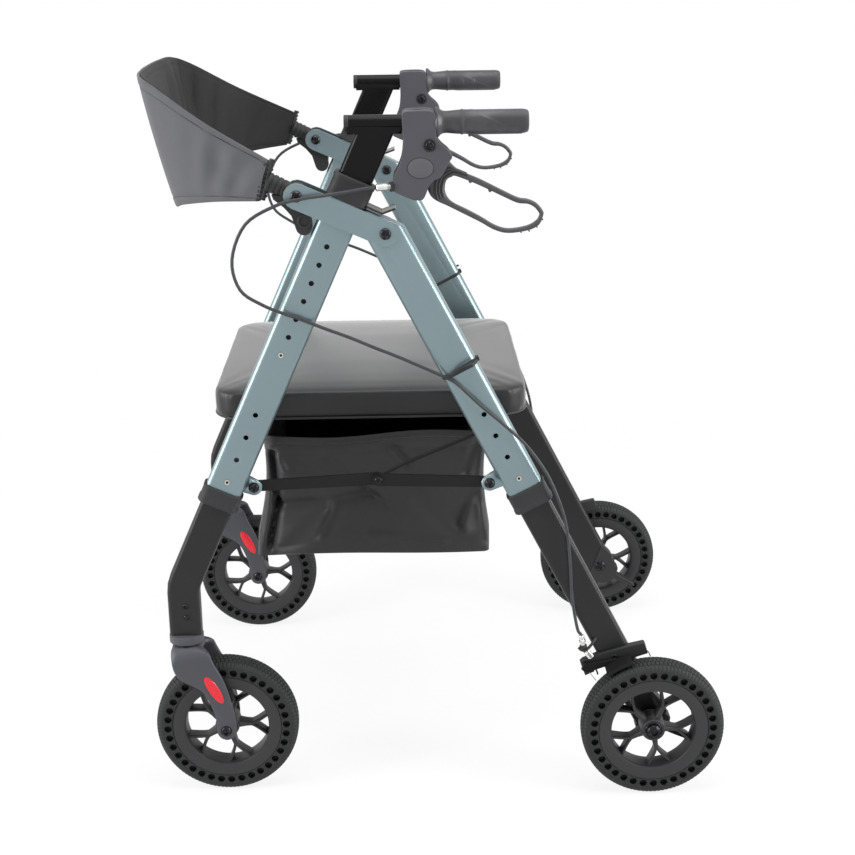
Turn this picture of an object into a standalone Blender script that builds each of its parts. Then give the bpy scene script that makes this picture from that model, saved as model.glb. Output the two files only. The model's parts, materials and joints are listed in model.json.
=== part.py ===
"""Folding four-wheeled walking frame (rollator) with seat, backrest strap and bag.

Metres, +Z up. The user walks towards -Y, so their left hand is at +X.
The origin lies on the floor, midway between the front and the rear axles.
Side pieces are drawn once, around their tube or hinge, and made for both sides.
"""
import bpy
import bmesh
from math import asin, atan2, cos, hypot, pi, radians, sin, tan
from mathutils import Vector

# Clearances
TOUCH_GAP = 0.0003
SLIDE_GAP = 0.0007
RUNNING_GAP = 0.0004
SIDE_GAP = 0.0005
FRONT_BAR_GAP = 0.002
REAR_BAR_GAP = 0.0005
LIFT_ROD_GAP = 0.0015

# Wheels and their places
WHEEL_RADIUS = 0.100
TYRE_WIDTH = 0.036
RIM_RADIUS = 0.0685
RIM_OPENING_RADIUS = 0.060
RIM_WIDTH = 0.028
RIM_WEB = 0.012
HUB_RADIUS = 0.0185
HUB_WIDTH = 0.034
AXLE_RADIUS = 0.006
SPOKES = 5
WHEEL_STEPS = 30
WHEELBASE = 0.596
FRONT_TRACK_HALF = 0.274
REAR_WHEEL_OFFSET = 0.037
CASTER_TRAIL = 0.051

# Tubes of the frame
TUBE_WIDTH = 0.050
TUBE_THICK = 0.028
TUBE_CORNER = 0.008
TUBE_WALL = 0.002
LEG_WALL = 0.002
PIN_HOLE_RADIUS = 0.0037
LEG_PITCH = 0.034
LEG_HOLES = 4
HANDLE_PITCH = 0.026
HANDLE_HOLES = 7
COLLAR_WALL = 0.003
COLLAR_LENGTH = 0.036
COLLAR_LIP = 0.028

# Front tube, from its foot up along its own axis
FRONT_LEAN = radians(24.34)
FRONT_FOOT_BEHIND_STEM = 0.0613
FRONT_FOOT_Z = 0.447
FRONT_TUBE_LENGTH = 0.4373
FRONT_LEG_PIN = 0.019
HANDLE_PIN = 0.2106
FRONT_LEG_STUB = 0.070
LEG_BEND_RADIUS = 0.045
FRONT_LEG_RISE = 0.037

# Fold pivot and rear tube, which runs down from the pivot
FOLD_PIVOT_OUT = 0.03703
FOLD_PIVOT_ALONG = 0.4122
REAR_TUBE_TOP = 0.045
REAR_TUBE_PLUG = 0.014
REAR_TUBE_FRONT_GAP = 0.004
REAR_TUBE_LENGTH = 0.4007
REAR_LEG_PIN = 0.3768
REAR_LEG_STUB = 0.345
REAR_LEG_TAIL = 0.018

# Side plates between the front tube, the backrest and the rear tube
BACKREST_PIVOT_OUT = 0.03558
BACKREST_PIVOT_ALONG = 0.41127
PLATE_THICK = 0.003
PLATE_LOBE_RADIUS = 0.0165
PLATE_PIN_RADIUS = 0.005
BOLT_HEAD_RADIUS = 0.0075
BOLT_HEAD_HEIGHT = 0.003

# Handles
HANDLE_Z = 0.9352
HANDLE_BAR_RADIUS = 0.0105
HANDLE_BAR_AHEAD = 0.04214
HANDLE_SADDLE_BEHIND = 0.02886
HANDLE_SADDLE_DEPTH = 0.002
HANDLE_UPRIGHT_TAIL = 0.020
GRIP_BEHIND = 0.07086
GRIP_LENGTH = 0.118
GRIP_RADIUS = 0.0157
GRIP_END_WALL = 0.004

# Brake lever and its housing
LEVER_PIVOT_BEHIND = 0.0074
LEVER_PIVOT_DROP = 0.0266
LEVER_THICK = 0.014
LEVER_EYE_RADIUS = 0.0105
LEVER_PIN_RADIUS = 0.004
HOUSING_HALF = 0.018
ADJUSTER_RADIUS = 0.004
ADJUSTER_X = 0.0125
ADJUSTER_AHEAD = 0.0406
ADJUSTER_DROP = 0.0515
ADJUSTER_LENGTH = 0.030
ADJUSTER_SPLAY = radians(18)

# Side outlines of the housing, the lever and the lever's loop, as (y, z) from the lever's pin
HOUSING_OUTLINE = [
    (-0.0326, 0.0414), (-0.0296, 0.0444), (0.0044, 0.0444), (0.0069, 0.0414), (0.0069, 0.0054),
    (0.0139, -0.0036), (0.0314, -0.0226), (0.0379, -0.0326), (0.0354, -0.0466), (-0.0026, -0.0686),
    (-0.0256, -0.0696), (-0.0396, -0.0596), (-0.0466, -0.0496), (-0.0466, -0.0356), (-0.0366, -0.0186),
    (-0.0326, 0.0034),
]
LEVER_OUTLINE = [
    (0.0334, -0.0301), (0.0434, -0.0366), (0.1154, -0.0731), (0.1254, -0.0741), (0.1364, -0.0806),
    (0.1439, -0.0886), (0.1434, -0.0966), (0.1344, -0.1066), (0.1014, -0.1171), (0.0914, -0.1166),
    (0.0764, -0.1101), (0.0254, -0.0766), (0.0154, -0.0706),
]
LEVER_OPENING = [
    (0.0554, -0.0541), (0.1144, -0.0816), (0.1244, -0.0826), (0.1334, -0.0881), (0.1359, -0.0926),
    (0.1304, -0.0981), (0.1004, -0.1081), (0.0934, -0.1081), (0.0804, -0.1016), (0.0504, -0.0796),
    (0.0464, -0.0666),
]

# Folding strut and the rod that lifts it with the seat
STRUT_THICK = 0.004
STRUT_HALF_HEIGHT = 0.0075
STRUT_GAP = 0.0015
EAR_FRONT_OUT = 0.01126
EAR_FRONT_ALONG = 0.0220
EAR_REAR_OUT = 0.01351
EAR_REAR_ALONG = 0.36605
STRUT_SHARE = 0.472
STRUT_RISE = 0.0065
EAR_THICK = 0.004
EAR_RADIUS = 0.011
EAR_BASE_HALF = 0.0125
EAR_PIN_RADIUS = 0.0035
LIFT_ROD_RADIUS = 0.003
LIFT_ROD_TIP_AHEAD = 0.022
LIFT_ROD_TIP_INSET = 0.104

# Seat
SEAT_HALF_WIDTH = 0.205
SEAT_AHEAD_OF_BAR = 0.0404
SEAT_LENGTH = 0.422
SEAT_CORNER = 0.045
SEAT_BOTTOM_Z = 0.538
SEAT_EDGE_HEIGHT = 0.025
SEAT_CROWN = 0.010
PAN_INSET = 0.010
PAN_THICK = 0.0112
FRONT_BAR_RADIUS = 0.011
REAR_BAR_RADIUS = 0.0095
REAR_BAR_BEHIND = 0.0107
SEAT_LUG_X = 0.120
SEAT_LUG_WIDTH = 0.026
SEAT_LUG_RADIUS = 0.017

# Bag
BAG_HALF_WIDTH = 0.200
BAG_BEHIND_BAR = 0.0196
BAG_REAR_AHEAD = 0.022
BAG_TOP_Z = 0.500
BAG_BOTTOM_Z = 0.329
BAG_WALL = 0.003

# Backrest strap, from an end to the middle: the share of the end's x, then from the
# pivot the (y, z) of its top and of its lower edge
STRAP_STATIONS = [
    (1.0000, -0.0341, 0.0433, -0.0481, -0.0087),
    (0.8630, -0.1166, 0.0863, -0.1066, -0.0137),
    (0.7037, -0.1826, 0.1273, -0.1526, -0.0227),
    (0.5741, -0.2086, 0.1403, -0.1676, -0.0297),
    (0.2963, -0.2166, 0.1423, -0.1756, -0.0327),
    (0.0000, -0.2186, 0.1423, -0.1776, -0.0337),
]
STRAP_END_INSET = 0.004
STRAP_PIECES = 2
STRAP_THICK = 0.007
STRAP_EDGE = 0.03
BRACKET_HALF = 0.010
BRACKET_LOBE_RADIUS = 0.0145
BRACKET_TAIL_RADIUS = 0.0105
BRACKET_TAIL_ALONG = 0.37765
BRACKET_TAIL_GAP = 0.00065
CONNECTOR_RADIUS = 0.0085
CONNECTOR_REACH = 0.034

# Fork of the front caster
FORK_ARM_THICK = 0.007
FORK_SIDE_GAP = 0.0045
FORK_CROWN_GAP = 0.0045
FORK_CROWN_THICK = 0.0147
FORK_ARM_ROOT_DROP = 0.004
FORK_CROWN_HALF = 0.0205
FORK_EYE_RADIUS = 0.0165
FORK_ARM_FRONT_EDGE = [(0.375, -0.0291), (0.770, -0.0253)]
FORK_ARM_REAR_EDGE = [(0.6875, 0.0249), (0.270, 0.0242)]
STEM_RADIUS = 0.006
STEM_LENGTH = 0.045
STEM_CUP_RADIUS = 0.0205
STEM_CUP_HEIGHT = 0.0175

# Rear brake
BRAKE_GAP = 0.003
BRAKE_ARM_WIDTH = 0.022
BRAKE_EYE_RADIUS = 0.008
BRAKE_EYE_OUT = 0.02890
BRAKE_EYE_ANGLE = radians(114.40)
BRAKE_PIN_RADIUS = 0.003
BRACKET_FRONT = -0.045
BRACKET_REAR = 0.030
BRACKET_ABOVE_WHEEL = 0.0072
BRACKET_HEIGHT = 0.027
CHEEK_THICK = 0.004
BRAKE_ADJUSTER_RADIUS = 0.0045
BRAKE_ADJUSTER_LENGTH = 0.031
BRAKE_ADJUSTER_Y = -0.0275
BRAKE_ADJUSTER_INSET = 0.013

# Snap buttons
BUTTON_RADIUS = 0.0033
BUTTON_PROUD = 0.0015
BUTTON_LEAF_LENGTH = 0.036
BUTTON_LEAF_WIDTH = 0.008
BUTTON_LEAF_THICK = 0.001

# Brake cable
CABLE_RADIUS = 0.0026
CABLE_END_GAP = 0.0003
CABLE_POINT_STEP = 0.022
CABLE_LEAD = 0.012

# Worked out from the sizes above
FRONT_AXLE_Y = -WHEELBASE / 2
REAR_AXLE_Y = WHEELBASE / 2
CASTER_Y = FRONT_AXLE_Y - CASTER_TRAIL
FRONT_FOOT_Y = CASTER_Y + FRONT_FOOT_BEHIND_STEM
LEG_WIDTH = TUBE_WIDTH - 2 * TUBE_WALL - 2 * SLIDE_GAP
LEG_THICK = TUBE_THICK - 2 * TUBE_WALL - 2 * SLIDE_GAP
TUBE_HALF = TUBE_THICK / 2
PLATE_INNER = TUBE_HALF + TOUCH_GAP
PLATE_OUTER = PLATE_INNER + PLATE_THICK
REAR_TRACK_HALF = FRONT_TRACK_HALF + REAR_WHEEL_OFFSET
CROSS_BAR_HALF = FRONT_TRACK_HALF - TUBE_HALF - TOUCH_GAP
FORK_CROWN_BOTTOM = 2 * WHEEL_RADIUS + FORK_CROWN_GAP
FORK_CROWN_TOP = FORK_CROWN_BOTTOM + FORK_CROWN_THICK
FRONT_LEG_BOTTOM = 2 * WHEEL_RADIUS + FRONT_LEG_RISE


def from_front_frame(across, along):
    """World (y, z) of a point given across and along the front tube."""
    return (FRONT_FOOT_Y + across * cos(FRONT_LEAN) + along * sin(FRONT_LEAN),
            FRONT_FOOT_Z - across * sin(FRONT_LEAN) + along * cos(FRONT_LEAN))


FOLD_PIVOT_Y, FOLD_PIVOT_Z = from_front_frame(TUBE_WIDTH / 2 + FOLD_PIVOT_OUT, FOLD_PIVOT_ALONG)
REAR_LEAN = atan2(REAR_AXLE_Y - FOLD_PIVOT_Y, FOLD_PIVOT_Z - WHEEL_RADIUS)
REAR_AXLE_S = hypot(REAR_AXLE_Y - FOLD_PIVOT_Y, FOLD_PIVOT_Z - WHEEL_RADIUS)


def from_rear_frame(across, along):
    """World (y, z) of a point given across and along the rear tube."""
    return (FOLD_PIVOT_Y + across * cos(REAR_LEAN) - along * sin(REAR_LEAN),
            FOLD_PIVOT_Z + across * sin(REAR_LEAN) + along * cos(REAR_LEAN))


BACKREST_PIVOT_Y, BACKREST_PIVOT_Z = from_front_frame(-TUBE_WIDTH / 2 - BACKREST_PIVOT_OUT, BACKREST_PIVOT_ALONG)
BRACKET_TAIL_Y, BRACKET_TAIL_Z = from_front_frame(-TUBE_WIDTH / 2 - BRACKET_TAIL_RADIUS - BRACKET_TAIL_GAP,
                                                  BRACKET_TAIL_ALONG)
EAR_FRONT_Y, EAR_FRONT_Z = from_front_frame(TUBE_WIDTH / 2 + EAR_FRONT_OUT, EAR_FRONT_ALONG)
EAR_REAR_Y, EAR_REAR_Z = from_rear_frame(-TUBE_WIDTH / 2 - EAR_REAR_OUT, -EAR_REAR_ALONG)
STRUT_CENTRE_Y = EAR_REAR_Y + (EAR_FRONT_Y - EAR_REAR_Y) * STRUT_SHARE
STRUT_CENTRE_Z = EAR_REAR_Z + (EAR_FRONT_Z - EAR_REAR_Z) * STRUT_SHARE + STRUT_RISE
HANDLE_Y = FRONT_FOOT_Y + (HANDLE_Z - FRONT_FOOT_Z) * tan(FRONT_LEAN)
GRIP_FRONT_Y = HANDLE_Y + GRIP_BEHIND
LEVER_PIVOT_Y = GRIP_FRONT_Y - LEVER_PIVOT_BEHIND
LEVER_PIVOT_Z = HANDLE_Z - LEVER_PIVOT_DROP
ADJUSTER_Y = LEVER_PIVOT_Y - ADJUSTER_AHEAD
ADJUSTER_Z = LEVER_PIVOT_Z - ADJUSTER_DROP
BRAKE_EYE_REACH = WHEEL_RADIUS + BRAKE_GAP + BRAKE_EYE_OUT
BRAKE_EYE_Y = BRAKE_EYE_REACH * cos(BRAKE_EYE_ANGLE)
BRAKE_EYE_Z = BRAKE_EYE_REACH * sin(BRAKE_EYE_ANGLE) - REAR_AXLE_S
BRACKET_BOTTOM = WHEEL_RADIUS + BRACKET_ABOVE_WHEEL - REAR_AXLE_S
BRACKET_TOP = BRACKET_BOTTOM + BRACKET_HEIGHT
PAN_TOP_Z = SEAT_BOTTOM_Z - TOUCH_GAP
PAN_BOTTOM_Z = PAN_TOP_Z - PAN_THICK
SEAT_HINGE_Z = PAN_BOTTOM_Z - FRONT_BAR_GAP - FRONT_BAR_RADIUS
SEAT_HINGE_Y = FRONT_FOOT_Y + (SEAT_HINGE_Z - FRONT_FOOT_Z) * tan(FRONT_LEAN)
SEAT_FRONT_Y = SEAT_HINGE_Y - SEAT_AHEAD_OF_BAR
SEAT_REAR_Y = SEAT_FRONT_Y + SEAT_LENGTH
LIFT_ROD_TIP_Z = PAN_BOTTOM_Z - LIFT_ROD_GAP - LIFT_ROD_RADIUS
REAR_BAR_Z = PAN_BOTTOM_Z - REAR_BAR_GAP - REAR_BAR_RADIUS
REAR_BAR_Y = FOLD_PIVOT_Y + (FOLD_PIVOT_Z - REAR_BAR_Z) * tan(REAR_LEAN) + REAR_BAR_BEHIND
LIFT_ROD_TIP_Y = REAR_BAR_Y - LIFT_ROD_TIP_AHEAD
BAG_FRONT_Y = SEAT_HINGE_Y + BAG_BEHIND_BAR
BAG_REAR_Y = REAR_BAR_Y - BAG_REAR_AHEAD

SIDES = {"left": 1, "right": -1}

# Materials: name, colour, roughness, metallic
PAINTS = {
    "blue_grey_paint": ((0.27, 0.36, 0.39), 0.35, 0.7),
    "black_anodised": ((0.03, 0.031, 0.031), 0.4, 0.3),
    "charcoal_plastic": ((0.09, 0.088, 0.105), 0.6, 0.0),
    "black_rubber": ((0.045, 0.046, 0.05), 0.8, 0.0),
    "black_vinyl": ((0.03, 0.03, 0.033), 0.4, 0.0),
    "black_nylon": ((0.028, 0.028, 0.033), 0.85, 0.0),
    "grey_fabric": ((0.12, 0.12, 0.14), 0.85, 0.0),
    "zinc": ((0.6, 0.6, 0.6), 0.3, 1.0),
}


def clear_scene():
    for obj in list(bpy.data.objects):
        bpy.data.objects.remove(obj, do_unlink=True)


def paint(name):
    """The named material, made the first time it is asked for."""
    if name in bpy.data.materials:
        return bpy.data.materials[name]
    colour, roughness, metallic = PAINTS[name]
    material = bpy.data.materials.new(name)
    material.use_nodes = True
    shader = material.node_tree.nodes["Principled BSDF"]
    shader.inputs["Base Color"].default_value = (*colour, 1.0)
    shader.inputs["Roughness"].default_value = roughness
    shader.inputs["Metallic"].default_value = metallic
    return material


# Mesh helpers. Every helper returns an object whose mesh is one closed body.

def shade(mesh):
    """Smooth shading that keeps real corners sharp."""
    mesh.shade_smooth()
    mesh.set_sharp_from_angle(angle=radians(35))


def make_object(name, bm, finish):
    bmesh.ops.recalc_face_normals(bm, faces=bm.faces)
    mesh = bpy.data.meshes.new(name)
    bm.to_mesh(mesh)
    bm.free()
    shade(mesh)
    mesh.materials.append(paint(finish))
    obj = bpy.data.objects.new(name, mesh)
    bpy.context.collection.objects.link(obj)
    return obj


def loft(rings, looped=False):
    """Skin a list of point rings; a looped skin joins its last ring to its first."""
    bm = bmesh.new()
    rows = [[bm.verts.new(point) for point in ring] for ring in rings]
    count = len(rows[0])
    pairs = list(zip(rows, rows[1:]))
    if looped:
        pairs.append((rows[-1], rows[0]))
    for lower, upper in pairs:
        for i in range(count):
            j = (i + 1) % count
            bm.faces.new((lower[i], lower[j], upper[j], upper[i]))
    if not looped:
        bm.faces.new(rows[0])
        bm.faces.new(rows[-1])
    return bm


def prism(name, outline, x_low, x_high, finish):
    """A (y, z) outline extruded along X."""
    rings = [[Vector((x, y, z)) for y, z in outline] for x in (x_low, x_high)]
    return make_object(name, loft(rings), finish)


def box(name, x_range, y_range, z_range, finish):
    (y0, y1), (z0, z1) = y_range, z_range
    return prism(name, [(y0, z0), (y1, z0), (y1, z1), (y0, z1)], *x_range, finish)


def arc(centre, radius, start, end, steps):
    """Points (y, z) along an arc, both ends included; angles in degrees from +Y to +Z."""
    angles = [radians(start + (end - start) * i / steps) for i in range(steps + 1)]
    return [(centre[0] + radius * cos(a), centre[1] + radius * sin(a)) for a in angles]


def circle(centre, radius, steps):
    return arc(centre, radius, 0, 360 * (steps - 1) / steps, steps - 1)


def stadium(first, second, first_radius, second_radius, steps=8):
    """Outline round two circles: half of each, joined by straight sides."""
    heading = atan2(second[1] - first[1], second[0] - first[0]) * 180 / pi
    near = arc(first, first_radius, heading + 90, heading + 270, steps)
    far = arc(second, second_radius, heading - 90, heading + 90, steps)
    return near + far


def rounded_rect(width, depth, radius, steps=2):
    """Points (x, y) round a rectangle with its corners as arcs."""
    points = []
    for quarter, (sx, sy) in enumerate(((1, 1), (-1, 1), (-1, -1), (1, -1))):
        centre = (sx * (width / 2 - radius), sy * (depth / 2 - radius))
        points += arc(centre, radius, 90 * quarter, 90 * quarter + 90, steps)
    return points


def cylinder(name, start, end, radius, finish, steps=12):
    """A round bar between two points."""
    start = Vector(start)
    axis = Vector(end) - start
    turn = axis.to_track_quat("Z", "Y")
    rings = []
    for height in (0, axis.length):
        rings.append([start + turn @ Vector((x, y, height)) for x, y in circle((0, 0), radius, steps)])
    return make_object(name, loft(rings), finish)


def turned(name, profile, steps, finish):
    """A closed (x, radius) profile turned about the X axis, from its top round."""
    rings = []
    for step in range(steps):
        angle = pi / 2 + 2 * pi * step / steps
        rings.append([Vector((x, r * cos(angle), r * sin(angle))) for x, r in profile])
    return make_object(name, loft(rings, looped=True), finish)


def section_rings(stations, section):
    """Rings of an (x, across) section at stations (y, z, tilt, stretch) in the YZ plane.

    The tilt turns the across direction from +Y; the stretch widens a mitred ring.
    """
    rings = []
    for y, z, tilt, stretch in stations:
        along_y = cos(tilt) * stretch
        along_z = sin(tilt) * stretch
        rings.append([Vector((x, y + w * along_y, z + w * along_z)) for x, w in section])
    return rings


def boolean(target, tool, operation):
    """Join or cut the target with the tool, then remove the tool."""
    bpy.context.view_layer.update()
    modifier = target.modifiers.new(operation.lower(), "BOOLEAN")
    modifier.object = tool
    modifier.operation = operation
    modifier.solver = "EXACT"
    evaluated = target.evaluated_get(bpy.context.evaluated_depsgraph_get())
    mesh = bpy.data.meshes.new_from_object(evaluated)
    target.modifiers.remove(modifier)
    target.data = mesh
    mesh.name = target.name
    shade(mesh)
    bpy.data.objects.remove(tool, do_unlink=True)


def join(target, *tools):
    for tool in tools:
        boolean(target, tool, "UNION")


def cut(target, *tools):
    for tool in tools:
        boolean(target, tool, "DIFFERENCE")


def soften(obj, width, segments=1):
    """Round the sharp edges."""
    modifier = obj.modifiers.new("soft_edges", "BEVEL")
    modifier.width = width
    modifier.segments = segments
    modifier.limit_method = "ANGLE"
    modifier.angle_limit = radians(50)
    evaluated = obj.evaluated_get(bpy.context.evaluated_depsgraph_get())
    mesh = bpy.data.meshes.new_from_object(evaluated)
    obj.modifiers.remove(modifier)
    obj.data = mesh
    mesh.name = obj.name
    shade(mesh)


def place(obj, x, y, z, lean=0.0):
    obj.location = (x, y, z)
    obj.rotation_euler = (lean, 0.0, 0.0)


def mirrored_range(side, near, far):
    """An x range on the outer side of a piece, for either side of the frame."""
    return tuple(sorted((side * near, side * far)))


def in_rear_frame(y, z):
    """World (y, z) as (across, along) in the rear tube's own frame."""
    dy = y - FOLD_PIVOT_Y
    dz = z - FOLD_PIVOT_Z
    return (dy * cos(REAR_LEAN) + dz * sin(REAR_LEAN), -dy * sin(REAR_LEAN) + dz * cos(REAR_LEAN))


def place_on_front_tube(obj, side):
    place(obj, side * FRONT_TRACK_HALF, FRONT_FOOT_Y, FRONT_FOOT_Z, -FRONT_LEAN)


def place_on_rear_tube(obj, side):
    place(obj, side * FRONT_TRACK_HALF, FOLD_PIVOT_Y, FOLD_PIVOT_Z, REAR_LEAN)


def tube_section(gap=0.0):
    """The frame tube's outer section, grown by a gap all round."""
    return rounded_rect(TUBE_THICK + 2 * gap, TUBE_WIDTH + 2 * gap, TUBE_CORNER + gap)


def leg_section(gap=0.0):
    """Section of the inner tubes that slide in the frame tubes."""
    corner = TUBE_CORNER - TUBE_WALL
    return rounded_rect(LEG_THICK + 2 * gap, LEG_WIDTH + 2 * gap, corner + gap)


def straight_rings(section, heights):
    return [[Vector((x, y, z)) for x, y in section] for z in heights]


def pin_cutter(side, height):
    """A hole through a tube's outer wall."""
    near, far = mirrored_range(side, TUBE_HALF - 2 * TUBE_WALL, TUBE_HALF + TUBE_WALL)
    return cylinder("pin_cutter", (near, 0, height), (far, 0, height), PIN_HOLE_RADIUS, "zinc", 8)


# Frame tubes

def ear(name, side, across, along, plate_x, pin_end_x, facing):
    """A welded lug with its strut bolt, in a tube's own frame."""
    base = facing * (TUBE_WIDTH / 2 - TUBE_WALL * 0.75)
    centre = (across, along)
    if facing > 0:
        lobe = arc(centre, EAR_RADIUS, -80, 80, 8)
        outline = [(base, along - EAR_BASE_HALF)] + lobe + [(base, along + EAR_BASE_HALF)]
    else:
        lobe = arc(centre, EAR_RADIUS, 100, 260, 8)
        outline = [(base, along + EAR_BASE_HALF)] + lobe + [(base, along - EAR_BASE_HALF)]
    plate_end = plate_x + EAR_THICK
    lug = prism(name, outline, *mirrored_range(side, plate_x, plate_end), "blue_grey_paint")
    pin = cylinder("pin", (side * pin_end_x, *centre), (side * (plate_end + 0.001), *centre),
                   EAR_PIN_RADIUS, "zinc", 12)
    head = cylinder("head", (side * (plate_end - 0.001), *centre),
                    (side * (plate_end + BOLT_HEAD_HEIGHT), *centre), EAR_RADIUS * 0.62, "zinc", 12)
    join(lug, pin, head)
    return lug


def front_tube(name, side):
    """Upper front tube: rows of pin holes for the leg and the handle, and the strut's lug."""
    section = tube_section()
    hollow = tube_section(-TUBE_WALL)
    ends = (0, FRONT_TUBE_LENGTH)
    rings = straight_rings(section, ends) + straight_rings(hollow, reversed(ends))
    tube = make_object(name, loft(rings, looped=True), "blue_grey_paint")
    heights = [FRONT_LEG_PIN + LEG_PITCH * i for i in range(LEG_HOLES)]
    heights += [HANDLE_PIN + HANDLE_PITCH * i for i in range(HANDLE_HOLES)]
    plate_x = -STRUT_GAP + SIDE_GAP
    pin_end_x = plate_x - SIDE_GAP - STRUT_THICK - 0.002
    join(tube, ear("front_ear", side, TUBE_WIDTH / 2 + EAR_FRONT_OUT, EAR_FRONT_ALONG, plate_x, pin_end_x, 1))
    cut(tube, *[pin_cutter(side, height) for height in heights])
    place_on_front_tube(tube, side)


def rear_tube_waste():
    """What is trimmed off the rear tube's top, level with the plates and clear of the front tube."""
    half = TUBE_WIDTH / 2
    plate_angle = atan2(BACKREST_PIVOT_Z - FOLD_PIVOT_Z, FOLD_PIVOT_Y - BACKREST_PIVOT_Y)
    plate_slope = -tan(plate_angle + REAR_LEAN)
    plate_rise = PLATE_LOBE_RADIUS / cos(plate_angle + REAR_LEAN)
    face_slope = tan(pi / 2 - FRONT_LEAN - REAR_LEAN)
    axis_across, axis_along = in_rear_frame(*from_front_frame(0, FRONT_TUBE_LENGTH))
    face_rise = axis_along - face_slope * axis_across
    face_rise -= (half + REAR_TUBE_FRONT_GAP) / sin(FRONT_LEAN + REAR_LEAN)
    peak = (plate_rise - face_rise) / (face_slope - plate_slope)
    edge = half + TUBE_WALL
    high = REAR_TUBE_TOP + TUBE_WALL
    outline = [(-edge, face_rise - face_slope * edge), (peak, face_rise + face_slope * peak),
               (edge, plate_rise + plate_slope * edge), (edge, high), (-edge, high)]
    return prism("waste", outline, -TUBE_THICK, TUBE_THICK, "zinc")


def rear_tube(name, side):
    """Upper rear tube: hangs on the fold pivot, plugged at its top."""
    section = tube_section()
    hollow = tube_section(-TUBE_WALL)
    rings = straight_rings(hollow, (-REAR_TUBE_PLUG, -REAR_TUBE_LENGTH))
    rings += straight_rings(section, (-REAR_TUBE_LENGTH, REAR_TUBE_TOP))
    tube = make_object(name, loft(rings), "blue_grey_paint")
    cut(tube, rear_tube_waste())
    heights = [-REAR_LEG_PIN + LEG_PITCH * i for i in range(LEG_HOLES)]
    across = -TUBE_WIDTH / 2 - EAR_REAR_OUT
    join(tube, ear("rear_ear", side, across, -EAR_REAR_ALONG, STRUT_THICK + SIDE_GAP, -STRUT_GAP, -1))
    cut(tube, *[pin_cutter(side, height) for height in heights])
    bore = PLATE_PIN_RADIUS + RUNNING_GAP
    cut(tube, cylinder("bore", (-TUBE_THICK, 0, 0), (TUBE_THICK, 0, 0), bore, "zinc"))
    place_on_rear_tube(tube, side)


def collar(name, side, tube_end, direction, place_on):
    """Plastic sleeve over a tube's end; its lip guides the sliding inner tube."""
    outer = tube_section(COLLAR_WALL)
    seat = tube_section(TOUCH_GAP)
    lip = leg_section(TOUCH_GAP)
    lip_end = tube_end + direction * COLLAR_LIP
    sleeve_end = lip_end - direction * COLLAR_LENGTH
    step = tube_end + direction * TOUCH_GAP
    rings = straight_rings(outer, (lip_end, sleeve_end))
    rings += straight_rings(seat, (sleeve_end, step)) + straight_rings(lip, (step, lip_end))
    place_on(make_object(name, loft(rings, looped=True), "charcoal_plastic"), side)


def gusset(name, side):
    """Pair of side plates with the backrest bolt and the fold bolt between them."""
    front = (BACKREST_PIVOT_Y - FOLD_PIVOT_Y, BACKREST_PIVOT_Z - FOLD_PIVOT_Z)
    rear = (0.0, 0.0)
    outline = stadium(front, rear, PLATE_LOBE_RADIUS, PLATE_LOBE_RADIUS)
    outer = prism(name, outline, PLATE_INNER, PLATE_OUTER, "blue_grey_paint")
    inner = prism("inner", outline, -PLATE_OUTER, -PLATE_INNER, "blue_grey_paint")
    parts = [inner]
    reach = PLATE_OUTER + BOLT_HEAD_HEIGHT
    for y, z in (front, rear):
        parts.append(cylinder("bolt", (-PLATE_OUTER, y, z), (PLATE_OUTER, y, z), PLATE_PIN_RADIUS, "zinc"))
        for end in (-1, 1):
            start = (end * (PLATE_OUTER - 0.001), y, z)
            parts.append(cylinder("head", start, (end * reach, y, z), BOLT_HEAD_RADIUS, "zinc"))
    join(outer, *parts)
    place(outer, side * FRONT_TRACK_HALF, FOLD_PIVOT_Y, FOLD_PIVOT_Z)


def cross_bar(name, radius, y, z):
    bar = cylinder(name, (-CROSS_BAR_HALF, 0, 0), (CROSS_BAR_HALF, 0, 0), radius, "black_anodised", 16)
    place(bar, 0, y, z)


# Legs, forks and wheels

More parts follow.
